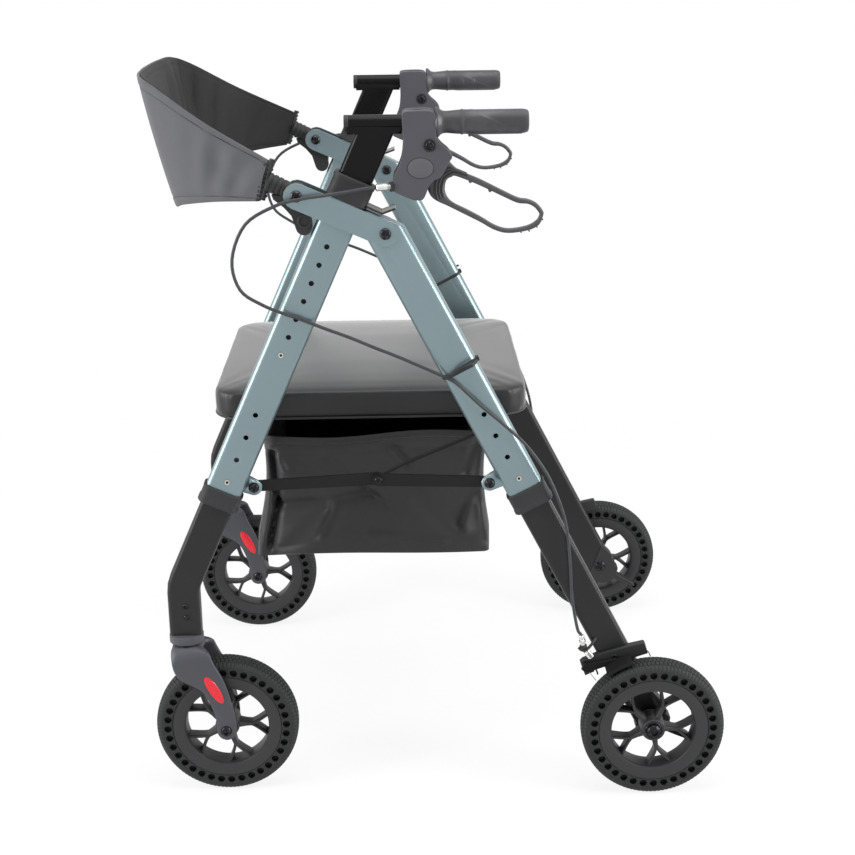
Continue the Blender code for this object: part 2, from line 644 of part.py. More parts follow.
def front_leg(name, side):
    """Inner tube bent upright above the caster, with the stem's cup and bore."""
    bend_z = FRONT_FOOT_Z - (FRONT_FOOT_Y - CASTER_Y) / tan(FRONT_LEAN)
    tangent = LEG_BEND_RADIUS * tan(FRONT_LEAN / 2)
    top = FRONT_LEG_STUB
    top_station = (*from_front_frame(0, top), -FRONT_LEAN, 1.0)
    centre_y = CASTER_Y + LEG_BEND_RADIUS
    centre_z = bend_z - tangent
    stations = [top_station]
    for share in (1.0, 0.5, 0.0):
        tilt = FRONT_LEAN * share
        stations.append((centre_y - LEG_BEND_RADIUS * cos(tilt), centre_z + LEG_BEND_RADIUS * sin(tilt), -tilt, 1.0))
    bottom = (CASTER_Y, FRONT_LEG_BOTTOM, 0.0, 1.0)
    floor = (CASTER_Y, FRONT_LEG_BOTTOM + STEM_LENGTH, 0.0, 1.0)
    outer = section_rings(stations + [bottom], leg_section())
    inner = section_rings([floor] + stations[::-1], leg_section(-LEG_WALL))
    leg = make_object(name, loft(inner + outer), "black_anodised")
    cup_bottom = FRONT_LEG_BOTTOM - STEM_CUP_HEIGHT
    cup = cylinder("cup", (0, CASTER_Y, cup_bottom), (0, CASTER_Y, FRONT_LEG_BOTTOM + 0.002),
                   STEM_CUP_RADIUS, "charcoal_plastic", 16)
    join(leg, cup)
    bore_top = FRONT_LEG_BOTTOM + STEM_LENGTH - 0.006
    bore = STEM_RADIUS + RUNNING_GAP
    cut(leg, cylinder("bore", (0, CASTER_Y, cup_bottom - 0.01), (0, CASTER_Y, bore_top), bore, "zinc", 16))
    y, z = from_front_frame(0, FRONT_LEG_PIN)
    near, far = mirrored_range(side, LEG_THICK / 2 - 2 * LEG_WALL, LEG_THICK / 2 + LEG_WALL)
    cut(leg, cylinder("pin_hole", (near, y, z), (far, y, z), PIN_HOLE_RADIUS, "zinc", 8))
    place(leg, side * FRONT_TRACK_HALF, 0, 0)


def fork(name, side):
    """Caster fork: stem, crown, two arms and the wheel's axle bolt."""
    arm_inner = TYRE_WIDTH / 2 + FORK_SIDE_GAP
    arm_outer = arm_inner + FORK_ARM_THICK
    half = FORK_CROWN_HALF
    shoulder = FORK_CROWN_TOP - 0.004
    root = 2 * WHEEL_RADIUS - FORK_ARM_ROOT_DROP
    axle = (CASTER_TRAIL, WHEEL_RADIUS)

    def beside_arm(share, offset):
        """A point beside the line from the crown to the axle."""
        return (CASTER_TRAIL * share + offset, root + (WHEEL_RADIUS - root) * share)

    arm = [(-half, shoulder), (-half, root)] + [beside_arm(*point) for point in FORK_ARM_FRONT_EDGE]
    arm += arc(axle, FORK_EYE_RADIUS, 205, 395, 6)
    arm += [beside_arm(*point) for point in FORK_ARM_REAR_EDGE] + [(half, root), (half, shoulder)]
    body = prism(name, arm, arm_inner, arm_outer, "charcoal_plastic")
    other = prism("arm", arm, -arm_outer, -arm_inner, "charcoal_plastic")
    chamfer = half - 0.008
    crown = prism("crown", [(-half, FORK_CROWN_BOTTOM), (half, FORK_CROWN_BOTTOM), (half, shoulder),
                            (chamfer, FORK_CROWN_TOP), (-chamfer, FORK_CROWN_TOP), (-half, shoulder)],
                  -arm_outer, arm_outer, "charcoal_plastic")
    stem_top = FRONT_LEG_BOTTOM + STEM_LENGTH - 0.010
    stem = cylinder("stem", (0, 0, FORK_CROWN_BOTTOM + 0.0035), (0, 0, stem_top), STEM_RADIUS, "zinc")
    axle_bar = cylinder("axle", (-arm_outer, *axle), (arm_outer, *axle), AXLE_RADIUS, "zinc")
    parts = [other, crown, stem, axle_bar]
    for end in (-1, 1):
        start = (end * (arm_outer - 0.001), *axle)
        stop = (end * (arm_outer + BOLT_HEAD_HEIGHT), *axle)
        parts.append(cylinder("head", start, stop, BOLT_HEAD_RADIUS, "zinc"))
    join(body, *parts)
    place(body, side * FRONT_TRACK_HALF, CASTER_Y, 0)


def polar(radius, degrees):
    return (radius * cos(radians(degrees)), radius * sin(radians(degrees)))


def rim_mesh():
    """Moulded wheel: hub, ring and five forked spokes, left by cutting windows in a web."""
    ring = RIM_WIDTH / 2
    web = RIM_WEB / 2
    hub = HUB_WIDTH / 2
    bore = AXLE_RADIUS + RUNNING_GAP
    lip = RIM_OPENING_RADIUS
    half = [(hub, bore), (hub, HUB_RADIUS), (web, lip - 0.004), (ring, RIM_RADIUS)]
    profile = half + [(-x, r) for x, r in reversed(half)]
    rim = turned("rim", profile, WHEEL_STEPS, "charcoal_plastic")
    pitch = 360 / SPOKES
    edge = RIM_OPENING_RADIUS - 0.001
    stem_angle = asin(0.0035 / (HUB_RADIUS + 0.004)) * 180 / pi
    for spoke in range(SPOKES):
        turn = 90 + pitch * spoke
        fork_gap = [polar(0.043, turn)]
        fork_gap += arc((0, 0), edge, turn - 12, turn + 12, 2)
        cut(rim, prism("fork_gap", fork_gap, -hub, hub, "zinc"))
        between = arc((0, 0), edge, turn + 22, turn + pitch - 22, 2)
        between += [polar(0.036, turn + pitch - 7)]
        between += arc((0, 0), HUB_RADIUS + 0.004, turn + pitch - stem_angle, turn + stem_angle, 2)
        between += [polar(0.036, turn + 7)]
        cut(rim, prism("between", between, -hub, hub, "zinc"))
    return rim


def tyre_mesh():
    """Solid tyre with a flat tread and rounded shoulders."""
    half = TYRE_WIDTH / 2
    inner = RIM_RADIUS + TOUCH_GAP
    side = [(half - 0.003, inner), (half, WHEEL_RADIUS - 0.009), (half - 0.008, WHEEL_RADIUS)]
    profile = side + [(-x, r) for x, r in reversed(side)]
    return turned("tyre", profile, WHEEL_STEPS, "black_rubber")


def wheels():
    """Four wheels that share one rim mesh and one tyre mesh."""
    rim = rim_mesh()
    tyre = tyre_mesh()
    for word, side in SIDES.items():
        for end, track, y in (("front", FRONT_TRACK_HALF, FRONT_AXLE_Y), ("rear", REAR_TRACK_HALF, REAR_AXLE_Y)):
            for part, source in (("rim", rim), ("tyre", tyre)):
                wheel = bpy.data.objects.new(f"{end}_{part}_{word}", source.data)
                bpy.context.collection.objects.link(wheel)
                place(wheel, side * track, y, WHEEL_RADIUS)
    for source in (rim, tyre):
        bpy.data.objects.remove(source, do_unlink=True)


def rear_leg(name, side):
    """Inner tube with the wheel's stub axle and the brake's mounting block."""
    section = leg_section()
    hollow = leg_section(-LEG_WALL)
    top = -REAR_LEG_STUB
    bottom = -REAR_AXLE_S - REAR_LEG_TAIL
    rings = straight_rings(hollow, (bottom + LEG_WALL, top)) + straight_rings(section, (top, bottom))
    leg = make_object(name, loft(rings), "black_anodised")
    inner_side = REAR_WHEEL_OFFSET - HUB_WIDTH / 2 - RUNNING_GAP
    outer_side = REAR_WHEEL_OFFSET + HUB_WIDTH / 2 + RUNNING_GAP
    axle = (0, -REAR_AXLE_S)
    parts = [
        cylinder("axle", (0, *axle), (side * (outer_side + 0.001), *axle), AXLE_RADIUS, "zinc"),
        cylinder("spacer", (0, *axle), (side * inner_side, *axle), 0.009, "zinc"),
        cylinder("head", (side * outer_side, *axle), (side * (outer_side + 0.004), *axle), 0.010, "zinc"),
    ]
    arm_near = REAR_WHEEL_OFFSET - BRAKE_ARM_WIDTH / 2 - RUNNING_GAP
    arm_far = REAR_WHEEL_OFFSET + BRAKE_ARM_WIDTH / 2 + RUNNING_GAP
    block_near = LEG_THICK / 2 - LEG_WALL / 2
    heights = (BRACKET_BOTTOM, BRACKET_TOP)
    block_range = mirrored_range(side, block_near, arm_far + CHEEK_THICK)
    parts.append(box("block", block_range, (BRACKET_FRONT, BRACKET_REAR), heights, "charcoal_plastic"))
    eye = (BRAKE_EYE_Y, BRAKE_EYE_Z)
    for near in (arm_near - CHEEK_THICK, arm_far):
        cheek = stadium((BRACKET_FRONT + 0.010, BRAKE_EYE_Z), eye, 0.010, BRAKE_EYE_RADIUS, 6)
        parts.append(prism("cheek", cheek, *mirrored_range(side, near, near + CHEEK_THICK), "charcoal_plastic"))
    parts.append(cylinder("brake_pin", (side * (arm_near - CHEEK_THICK / 2), *eye),
                          (side * (arm_far + CHEEK_THICK / 2), *eye), BRAKE_PIN_RADIUS, "zinc", 12))
    foot = (side * (REAR_WHEEL_OFFSET - BRAKE_ADJUSTER_INSET), BRAKE_ADJUSTER_Y, BRACKET_TOP - 0.003)
    tip = (foot[0], foot[1], BRACKET_TOP + BRAKE_ADJUSTER_LENGTH)
    parts.append(cylinder("adjuster", foot, tip, BRAKE_ADJUSTER_RADIUS, "zinc", 12))
    join(leg, *parts)
    near, far = mirrored_range(side, LEG_THICK / 2 - 2 * LEG_WALL, LEG_THICK / 2 + LEG_WALL)
    cut(leg, cylinder("pin_hole", (near, 0, -REAR_LEG_PIN), (far, 0, -REAR_LEG_PIN), PIN_HOLE_RADIUS, "zinc", 8))
    place_on_rear_tube(leg, side)


def brake_arm(name, side):
    """Curved shoe that swings on its pin until it presses on the tread."""
    wheel = (0.0, -REAR_AXLE_S)
    inner = WHEEL_RADIUS + BRAKE_GAP
    outer = inner + 0.009
    shoe = arc(wheel, inner, 148, 118, 6)
    eye = (BRAKE_EYE_Y, BRAKE_EYE_Z)
    outline = shoe + arc(eye, BRAKE_EYE_RADIUS, -35, 195, 8) + arc(wheel, outer, 127, 148, 4)
    outline = [(y - eye[0], z - eye[1]) for y, z in outline]
    near = REAR_WHEEL_OFFSET - BRAKE_ARM_WIDTH / 2
    x_range = mirrored_range(side, near, near + BRAKE_ARM_WIDTH)
    arm = prism(name, outline, *x_range, "charcoal_plastic")
    reach = REAR_WHEEL_OFFSET + BRAKE_ARM_WIDTH
    bore = BRAKE_PIN_RADIUS + RUNNING_GAP
    cut(arm, cylinder("bore", (-reach, 0, 0), (reach, 0, 0), bore, "zinc", 12))
    place(arm, side * FRONT_TRACK_HALF, *from_rear_frame(*eye), REAR_LEAN)


# Handles and brake levers

def handle(name, side):
    """Sliding upright with the grip's tube and its saddle welded across the top."""
    top_z = HANDLE_Z - 0.004
    section = leg_section()
    hollow = leg_section(-LEG_WALL)
    bottom = HANDLE_PIN - HANDLE_UPRIGHT_TAIL

    def level_ring(outline, z):
        """Ring cut level with the floor instead of square to the upright."""
        rise = z - FRONT_FOOT_Z
        return [Vector((x, w, (rise + w * sin(FRONT_LEAN)) / cos(FRONT_LEAN))) for x, w in outline]

    rings = [level_ring(hollow, top_z - 0.020)] + straight_rings(hollow, (bottom,))
    rings += straight_rings(section, (bottom,)) + [level_ring(section, top_z)]
    upright = make_object(name, loft(rings), "black_anodised")
    place_on_front_tube(upright, side)
    x = side * FRONT_TRACK_HALF
    bar_end = GRIP_FRONT_Y + GRIP_LENGTH - GRIP_END_WALL - TOUCH_GAP
    bar = cylinder("bar", (x, HANDLE_Y - HANDLE_BAR_AHEAD, HANDLE_Z), (x, bar_end, HANDLE_Z),
                   HANDLE_BAR_RADIUS, "black_anodised", 20)
    saddle_y = (HANDLE_Y - HANDLE_BAR_AHEAD + 0.002, HANDLE_Y + HANDLE_SADDLE_BEHIND)
    saddle = box("saddle", (x - LEG_THICK / 2, x + LEG_THICK / 2), saddle_y,
                 (HANDLE_Z - HANDLE_BAR_RADIUS - HANDLE_SADDLE_DEPTH, HANDLE_Z - 0.004), "black_anodised")
    join(upright, bar, saddle)
    near, far = mirrored_range(side, LEG_THICK / 2 - 2 * LEG_WALL, LEG_THICK / 2 + LEG_WALL)
    hole = cylinder("pin_hole", (near, 0, HANDLE_PIN), (far, 0, HANDLE_PIN), PIN_HOLE_RADIUS, "zinc", 8)
    place_on_front_tube(hole, side)
    cut(upright, hole)


def grip(name, side):
    """Rubber grip with a flange, a waist and a closed end."""
    bore = HANDLE_BAR_RADIUS + TOUCH_GAP
    length = GRIP_LENGTH
    outer = [(0, bore), (0, 0.0185), (0.0015, 0.0198), (0.0045, 0.0185), (0.009, 0.0135), (0.014, 0.0135),
             (0.022, GRIP_RADIUS - 0.0005), (0.040, GRIP_RADIUS), (length - 0.010, GRIP_RADIUS - 0.0003),
             (length - 0.003, GRIP_RADIUS - 0.002), (length, GRIP_RADIUS - 0.006)]
    steps = 16
    rings = []
    for along, radius in outer:
        rings.append([Vector((x, along, z)) for x, z in circle((0, 0), radius, steps)])
    floor = [Vector((x, length - GRIP_END_WALL, z)) for x, z in circle((0, 0), bore, steps)]
    place(make_object(name, loft([floor] + rings), "black_rubber"), side * FRONT_TRACK_HALF, GRIP_FRONT_Y, HANDLE_Z)


def adjuster_point(along):
    """A point (x from the handle's middle, y) on the axis of the housing's cable adjuster."""
    return (ADJUSTER_X + along * sin(ADJUSTER_SPLAY), ADJUSTER_Y - along * cos(ADJUSTER_SPLAY))


def brake_housing(name, side):
    """Clamp round the grip's tube that holds the lever's pin and the cable adjuster."""
    y0, z0 = LEVER_PIVOT_Y, LEVER_PIVOT_Z
    body = prism(name, HOUSING_OUTLINE, -HOUSING_HALF, HOUSING_HALF, "charcoal_plastic")
    soften(body, 0.003)
    bar = HANDLE_BAR_RADIUS + TOUCH_GAP
    level = HANDLE_Z - z0
    slot_half = LEVER_THICK / 2 + SIDE_GAP
    slot = [(-0.0135, 0.0125), (0.034, 0.0125), (0.066, -0.02), (0.066, -0.09), (-0.0135, -0.09)]
    cut(body, cylinder("bar", (0, -0.08, level), (0, 0.04, level), bar, "zinc", 20),
        prism("slot", slot, -slot_half, slot_half, "zinc"))
    pin = cylinder("pin", (-HOUSING_HALF + 0.002, 0, 0), (HOUSING_HALF - 0.002, 0, 0), LEVER_PIN_RADIUS, "zinc", 12)
    head = cylinder("head", (side * (HOUSING_HALF - 0.002), 0, 0), (side * (HOUSING_HALF + 0.001), 0, 0),
                    0.0062, "zinc", 12)
    (root_x, root_y), (tip_x, tip_y) = adjuster_point(0), adjuster_point(ADJUSTER_LENGTH)
    barrel = cylinder("barrel", (side * root_x, root_y - y0, ADJUSTER_Z - z0),
                      (side * tip_x, tip_y - y0, ADJUSTER_Z - z0), ADJUSTER_RADIUS, "zinc")
    join(body, pin, head, barrel)
    place(body, side * FRONT_TRACK_HALF, y0, z0)


def brake_lever(name, side):
    """Looped lever: an eye on the pin, a root in the housing and a finger loop."""
    outline = LEVER_OUTLINE + arc((0, 0), LEVER_EYE_RADIUS, 200, 40, 8)
    lever = prism(name, outline, -LEVER_THICK / 2, LEVER_THICK / 2, "charcoal_plastic")
    cut(lever, prism("loop_gap", LEVER_OPENING, -LEVER_THICK, LEVER_THICK, "zinc"))
    soften(lever, 0.0018)
    bore = LEVER_PIN_RADIUS + RUNNING_GAP
    cut(lever, cylinder("bore", (-LEVER_THICK, 0, 0), (LEVER_THICK, 0, 0), bore, "zinc", 12))
    place(lever, side * FRONT_TRACK_HALF, LEVER_PIVOT_Y, LEVER_PIVOT_Z)


# Folding strut

def link(name, reach, x_low, bore_radius, side):
    """Flat bar from its own bolt, at the origin, to a second centre."""
    outline = stadium((0, 0), reach, STRUT_HALF_HEIGHT, STRUT_HALF_HEIGHT + 0.001, 6)
    x_range = mirrored_range(side, x_low, x_low + STRUT_THICK)
    bar = prism(name, outline, *x_range, "black_anodised")
    width = 4 * STRUT_THICK
    cut(bar, cylinder("bore", (-width, 0, 0), (width, 0, 0), bore_radius, "zinc", 12))
    return bar


def strut(word, side):
    """Two links that meet at the middle bolt, and the rod that the seat lifts them by."""
    bore = EAR_PIN_RADIUS + RUNNING_GAP
    reach = (STRUT_CENTRE_Y - EAR_FRONT_Y, STRUT_CENTRE_Z - EAR_FRONT_Z)
    front = link(f"strut_front_link_{word}", reach, -STRUT_GAP - STRUT_THICK, bore, side)
    inset = -STRUT_GAP - STRUT_THICK / 2
    beside_tube = -(TUBE_HALF + 0.0015 + LIFT_ROD_RADIUS)
    tip = (LIFT_ROD_TIP_Y - EAR_FRONT_Y, LIFT_ROD_TIP_Z - EAR_FRONT_Z)
    route = [(inset, reach[0] - 0.030, reach[1] - 0.001), (inset - 0.004, reach[0] + 0.002, reach[1] + 0.002),
             (beside_tube, reach[0] + 0.035, reach[1] + 0.0155), (beside_tube, tip[0] - 0.035, tip[1] - 0.014),
             (beside_tube, tip[0] - 0.012, tip[1] - 0.003), (beside_tube - 0.010, *tip),
             (-LIFT_ROD_TIP_INSET, *tip)]
    rod = round_tube("rod", [(side * x, y, z) for x, y, z in route], LIFT_ROD_RADIUS, "black_anodised")
    join(front, rod)
    place(front, side * FRONT_TRACK_HALF, EAR_FRONT_Y, EAR_FRONT_Z)

    reach = (STRUT_CENTRE_Y - EAR_REAR_Y, STRUT_CENTRE_Z - EAR_REAR_Z)
    rear = link(f"strut_rear_link_{word}", reach, 0.0, bore, side)
    near, far = STRUT_THICK - 0.001, STRUT_THICK + BOLT_HEAD_HEIGHT
    join(rear, cylinder("head", (side * near, *reach), (side * far, *reach), 0.0062, "zinc", 12))
    place(rear, side * FRONT_TRACK_HALF, EAR_REAR_Y, EAR_REAR_Z)


def smooth_route(points, step):
    """Points on a smooth curve through the given ones, about a step apart."""
    points = [Vector(point) for point in points]
    route = [points[0]]
    for i, (start, end) in enumerate(zip(points, points[1:])):
        pieces = max(1, round((end - start).length / step))
        route += curve_span(points, i, pieces)
    return route


def curve_span(points, i, pieces):
    """The pieces of a Catmull-Rom curve that follow point i, up to the next one."""
    start, end = points[i], points[i + 1]
    before = points[i - 1] if i > 0 else 2 * start - end
    after = points[i + 2] if i + 2 < len(points) else 2 * end - start
    span = []
    for k in range(1, pieces + 1):
        t = k / pieces
        span.append(0.5 * (2 * start + (end - before) * t
                           + (2 * before - 5 * start + 4 * end - after) * t ** 2
                           + (3 * start - before - 3 * end + after) * t ** 3))
    return span


def round_tube(name, points, radius, finish):
    """A round bar along a list of points, as a closed mesh."""
    curve = cable_curve(name, points, radius, finish)
    bpy.context.view_layer.update()
    evaluated = curve.evaluated_get(bpy.context.evaluated_depsgraph_get())
    bm = bmesh.new()
    bm.from_mesh(bpy.data.meshes.new_from_object(evaluated))
    bmesh.ops.remove_doubles(bm, verts=bm.verts, dist=1e-6)
    bpy.data.objects.remove(curve, do_unlink=True)
    return make_object(name, bm, finish)


def cable_curve(name, points, radius, finish):
    data = bpy.data.curves.new(name, "CURVE")
    data.dimensions = "3D"
    data.bevel_depth = radius
    data.bevel_resolution = 2
    data.use_fill_caps = True
    data.render_resolution_u = 0
    spline = data.splines.new("POLY")
    spline.points.add(len(points) - 1)
    for target, point in zip(spline.points, points):
        target.co = (*point, 1.0)
    data.materials.append(paint(finish))
    obj = bpy.data.objects.new(name, data)
    bpy.context.collection.objects.link(obj)
    return obj


# Seat, bag and backrest

def seat_cushion():
    """Padded seat with drawn-in sides and a low crown."""
    length = SEAT_LENGTH
    width = 2 * SEAT_HALF_WIDTH
    top = SEAT_EDGE_HEIGHT
    levels = [(0.008, 0.0), (0.002, 0.004), (0.0, 0.011), (0.003, 0.019), (0.012, top), (0.035, top + 0.005),
              (0.080, top + 0.0085), (0.130, top + SEAT_CROWN)]
    rings = []
    for inset, height in levels:
        corner = max(SEAT_CORNER - inset, 0.012)
        outline = rounded_rect(width - 2 * inset, length - 2 * inset, corner, 6)
        rings.append([Vector((x, y, height)) for x, y in outline])
    cushion = make_object("seat_cushion", loft(rings), "black_vinyl")
    place(cushion, 0, (SEAT_FRONT_Y + SEAT_REAR_Y) / 2, SEAT_BOTTOM_Z)


def seat_pan():
    """Board under the cushion with two lugs that turn on the front cross bar."""
    width = 2 * (SEAT_HALF_WIDTH - PAN_INSET)
    length = SEAT_LENGTH - 2 * PAN_INSET
    outline = rounded_rect(width, length, SEAT_CORNER - PAN_INSET, 4)
    middle = (SEAT_FRONT_Y + SEAT_REAR_Y) / 2 - SEAT_HINGE_Y
    rings = []
    for z in (PAN_BOTTOM_Z - SEAT_HINGE_Z, PAN_TOP_Z - SEAT_HINGE_Z):
        rings.append([Vector((x, y + middle, z)) for x, y in outline])
    pan = make_object("seat_pan", loft(rings), "charcoal_plastic")
    half = SEAT_LUG_WIDTH / 2
    bore = FRONT_BAR_RADIUS + RUNNING_GAP
    for x in (-SEAT_LUG_X, SEAT_LUG_X):
        join(pan, cylinder("lug", (x - half, 0, 0), (x + half, 0, 0), SEAT_LUG_RADIUS, "charcoal_plastic", 20))
    for x in (-SEAT_LUG_X, SEAT_LUG_X):
        cut(pan, cylinder("bore", (x - half - 0.01, 0, 0), (x + half + 0.01, 0, 0), bore, "zinc", 16))
    place(pan, 0, SEAT_HINGE_Y, SEAT_HINGE_Z)


def bag():
    """Open-topped cloth bag, a little narrower at its floor."""
    length = BAG_REAR_Y - BAG_FRONT_Y
    width = 2 * BAG_HALF_WIDTH
    height = BAG_TOP_Z - BAG_BOTTOM_Z
    levels = [(0.020, 0.0), (0.006, 0.014), (0.0, height)]
    outer = []
    for inset, z in levels:
        outline = rounded_rect(width - 2 * inset, length - 2 * inset, 0.030, 3)
        outer.append([Vector((x, y, z)) for x, y in outline])
    inner = []
    for inset, z in reversed(levels):
        grown = inset + BAG_WALL
        outline = rounded_rect(width - 2 * grown, length - 2 * grown, 0.030 - BAG_WALL, 3)
        floor = z + BAG_WALL if z < height else z
        inner.append([Vector((x, y, floor)) for x, y in outline])
    body = make_object("bag", loft(outer + inner), "black_nylon")
    place(body, 0, (BAG_FRONT_Y + BAG_REAR_Y) / 2, BAG_BOTTOM_Z)


def strap_end():
    """The middle of the strap's end, from the backrest's pivot on the strap's own side."""
    share, top_y, top_z, low_y, low_z = STRAP_STATIONS[0]
    return Vector((-STRAP_END_INSET, (top_y + low_y) / 2, (top_z + low_z) / 2))


def backrest_strap():
    """Padded strap from bracket to bracket round the front; taller at its middle."""
    reach = FRONT_TRACK_HALF - STRAP_END_INSET
    half = [(share * reach, *edges) for share, *edges in STRAP_STATIONS]
    stations = half + [(-x, *edges) for x, *edges in reversed(half[:-1])]
    tops = [Vector((x, top_y, top_z)) for x, top_y, top_z, low_y, low_z in stations]
    lows = [Vector((x, low_y, low_z)) for x, top_y, top_z, low_y, low_z in stations]
    top_route, low_route = [tops[0]], [lows[0]]
    for i in range(len(stations) - 1):
        top_route += curve_span(tops, i, STRAP_PIECES)
        low_route += curve_span(lows, i, STRAP_PIECES)
    rings = []
    for i, (top, low) in enumerate(zip(top_route, low_route)):
        ahead = min(i + 1, len(top_route) - 1)
        behind = max(i - 1, 0)
        along = top_route[ahead] + low_route[ahead] - top_route[behind] - low_route[behind]
        pad = along.cross(top - low).normalized() * STRAP_THICK / 2
        slim = (top - low) * STRAP_EDGE
        rings.append([top, top - slim + pad, low + slim + pad, low, low + slim - pad, top - slim - pad])
    place(make_object("backrest_strap", loft(rings), "grey_fabric"), 0, BACKREST_PIVOT_Y, BACKREST_PIVOT_Z)


def backrest_bracket(name, side):
    """Plastic crank: a hub on the front bolt, a stop against the tube and the strap's socket."""
    tail = (BRACKET_TAIL_Y - BACKREST_PIVOT_Y, BRACKET_TAIL_Z - BACKREST_PIVOT_Z)
    crank = prism(name, stadium((0.0, 0.0), tail, BRACKET_LOBE_RADIUS, BRACKET_TAIL_RADIUS),
                  -BRACKET_HALF, BRACKET_HALF, "charcoal_plastic")
    to_strap = strap_end()
    to_strap.x = 0
    to_strap.normalize()
    socket = cylinder("socket", (0, 0, 0), to_strap * CONNECTOR_REACH, CONNECTOR_RADIUS, "charcoal_plastic", 16)
    join(crank, socket)
    bore = PLATE_PIN_RADIUS + RUNNING_GAP
    cut(crank, cylinder("bore", (-0.02, 0, 0), (0.02, 0, 0), bore, "zinc", 16))
    place(crank, side * FRONT_TRACK_HALF, BACKREST_PIVOT_Y, BACKREST_PIVOT_Z)


# Snap buttons and brake cables

def snap_button(name, side, height, place_on):
    """Button on a leaf spring; the leaf lies inside the sliding tube."""
    inside = LEG_THICK / 2 - LEG_WALL - 0.0015
    tip = TUBE_HALF + BUTTON_PROUD
    button = cylinder(name, (side * (inside - 0.0005), 0, 0), (side * tip, 0, 0), BUTTON_RADIUS, "zinc", 12)
    leaf_range = mirrored_range(side, inside - BUTTON_LEAF_THICK, inside)
    half = BUTTON_LEAF_WIDTH / 2
    leaf = box("leaf", leaf_range, (-half, half), (-0.006, BUTTON_LEAF_LENGTH - 0.006), "zinc")
    join(button, leaf)
    place_on(button, side)
    bpy.context.view_layer.update()
    button.location = button.matrix_world @ Vector((0, 0, height))


def cable(name, side, points):
    """A cable through points given as x outward from the tubes' middle plane, y and z."""
    route = smooth_route([(side * (FRONT_TRACK_HALF + x), y, z) for x, y, z in points], CABLE_POINT_STEP)
    cable_curve(name, route, CABLE_RADIUS, "black_rubber")


def brake_cable(word, side):
    """Sheath in three lengths that meet at the front tube and at the tie on the rear tube."""
    start, lead = (adjuster_point(ADJUSTER_LENGTH + ahead) for ahead in (CABLE_END_GAP, CABLE_LEAD))
    cable(f"brake_cable_upper_{word}", side, [
        (*start, ADJUSTER_Z), (*lead, ADJUSTER_Z), (0.0262, -0.1010, 0.8542), (0.0262, -0.1290, 0.8500),
        (0.0262, -0.1677, 0.8448), (0.0280, -0.1994, 0.8370), (0.0300, -0.2381, 0.8141), (0.0300, -0.2567, 0.7695),
        (0.0300, -0.2484, 0.7304), (0.0260, -0.2216, 0.7094), (0.0210, -0.1930, 0.6955), (0.0195, -0.1790, 0.6902)])
    cable(f"brake_cable_middle_{word}", side, [
        (0.0195, -0.1787, 0.6901), (0.0195, -0.1100, 0.6623), (0.0195, -0.0456, 0.6343), (0.0195, 0.0156, 0.6057)])
    foot_y = BRAKE_ADJUSTER_Y
    foot_z = BRACKET_TOP + BRAKE_ADJUSTER_LENGTH + CABLE_END_GAP
    end_y, end_z = from_rear_frame(foot_y, foot_z)
    foot_x = REAR_WHEEL_OFFSET - BRAKE_ADJUSTER_INSET
    lead = (foot_x, end_y - CABLE_LEAD * sin(REAR_LEAN), end_z + CABLE_LEAD * cos(REAR_LEAN))
    cable(f"brake_cable_lower_{word}", side, [
        (0.0195, 0.0159, 0.6055), (0.0195, 0.0300, 0.5962), (0.0195, 0.0588, 0.5679), (0.0195, 0.0985, 0.5325),
        (0.0195, 0.1253, 0.5040), (0.0190, 0.1525, 0.4610), (0.0185, 0.1736, 0.4028), (0.0185, 0.1814, 0.3438),
        (0.0190, 0.1850, 0.2900), lead, (foot_x, end_y, end_z)])


def build():
    clear_scene()
    for word, side in SIDES.items():
        front_tube(f"front_tube_{word}", side)
        collar(f"handle_collar_{word}", side, FRONT_TUBE_LENGTH, 1, place_on_front_tube)
        collar(f"front_leg_collar_{word}", side, 0.0, -1, place_on_front_tube)
        gusset(f"side_plates_{word}", side)
        front_leg(f"front_leg_{word}", side)
        fork(f"caster_fork_{word}", side)
        rear_tube(f"rear_tube_{word}", side)
        collar(f"rear_leg_collar_{word}", side, -REAR_TUBE_LENGTH, -1, place_on_rear_tube)
        rear_leg(f"rear_leg_{word}", side)
        brake_arm(f"brake_shoe_{word}", side)
        handle(f"handle_{word}", side)
        grip(f"grip_{word}", side)
        brake_housing(f"brake_housing_{word}", side)
        brake_lever(f"brake_lever_{word}", side)
        strut(word, side)
        backrest_bracket(f"backrest_bracket_{word}", side)
        snap_button(f"front_leg_button_{word}", side, FRONT_LEG_PIN, place_on_front_tube)
        snap_button(f"handle_button_{word}", side, HANDLE_PIN, place_on_front_tube)
        snap_button(f"rear_leg_button_{word}", side, -REAR_LEG_PIN, place_on_rear_tube)
        brake_cable(word, side)
    wheels()
    cross_bar("front_cross_bar", FRONT_BAR_RADIUS, SEAT_HINGE_Y, SEAT_HINGE_Z)
    cross_bar("rear_cross_bar", REAR_BAR_RADIUS, REAR_BAR_Y, REAR_BAR_Z)
    seat_pan()
    seat_cushion()
    bag()
    backrest_strap()


build()
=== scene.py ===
import json
from collections import namedtuple
from math import cos, pi, radians, sin

import bmesh
import bpy
import numpy as np
from mathutils import Matrix, Vector


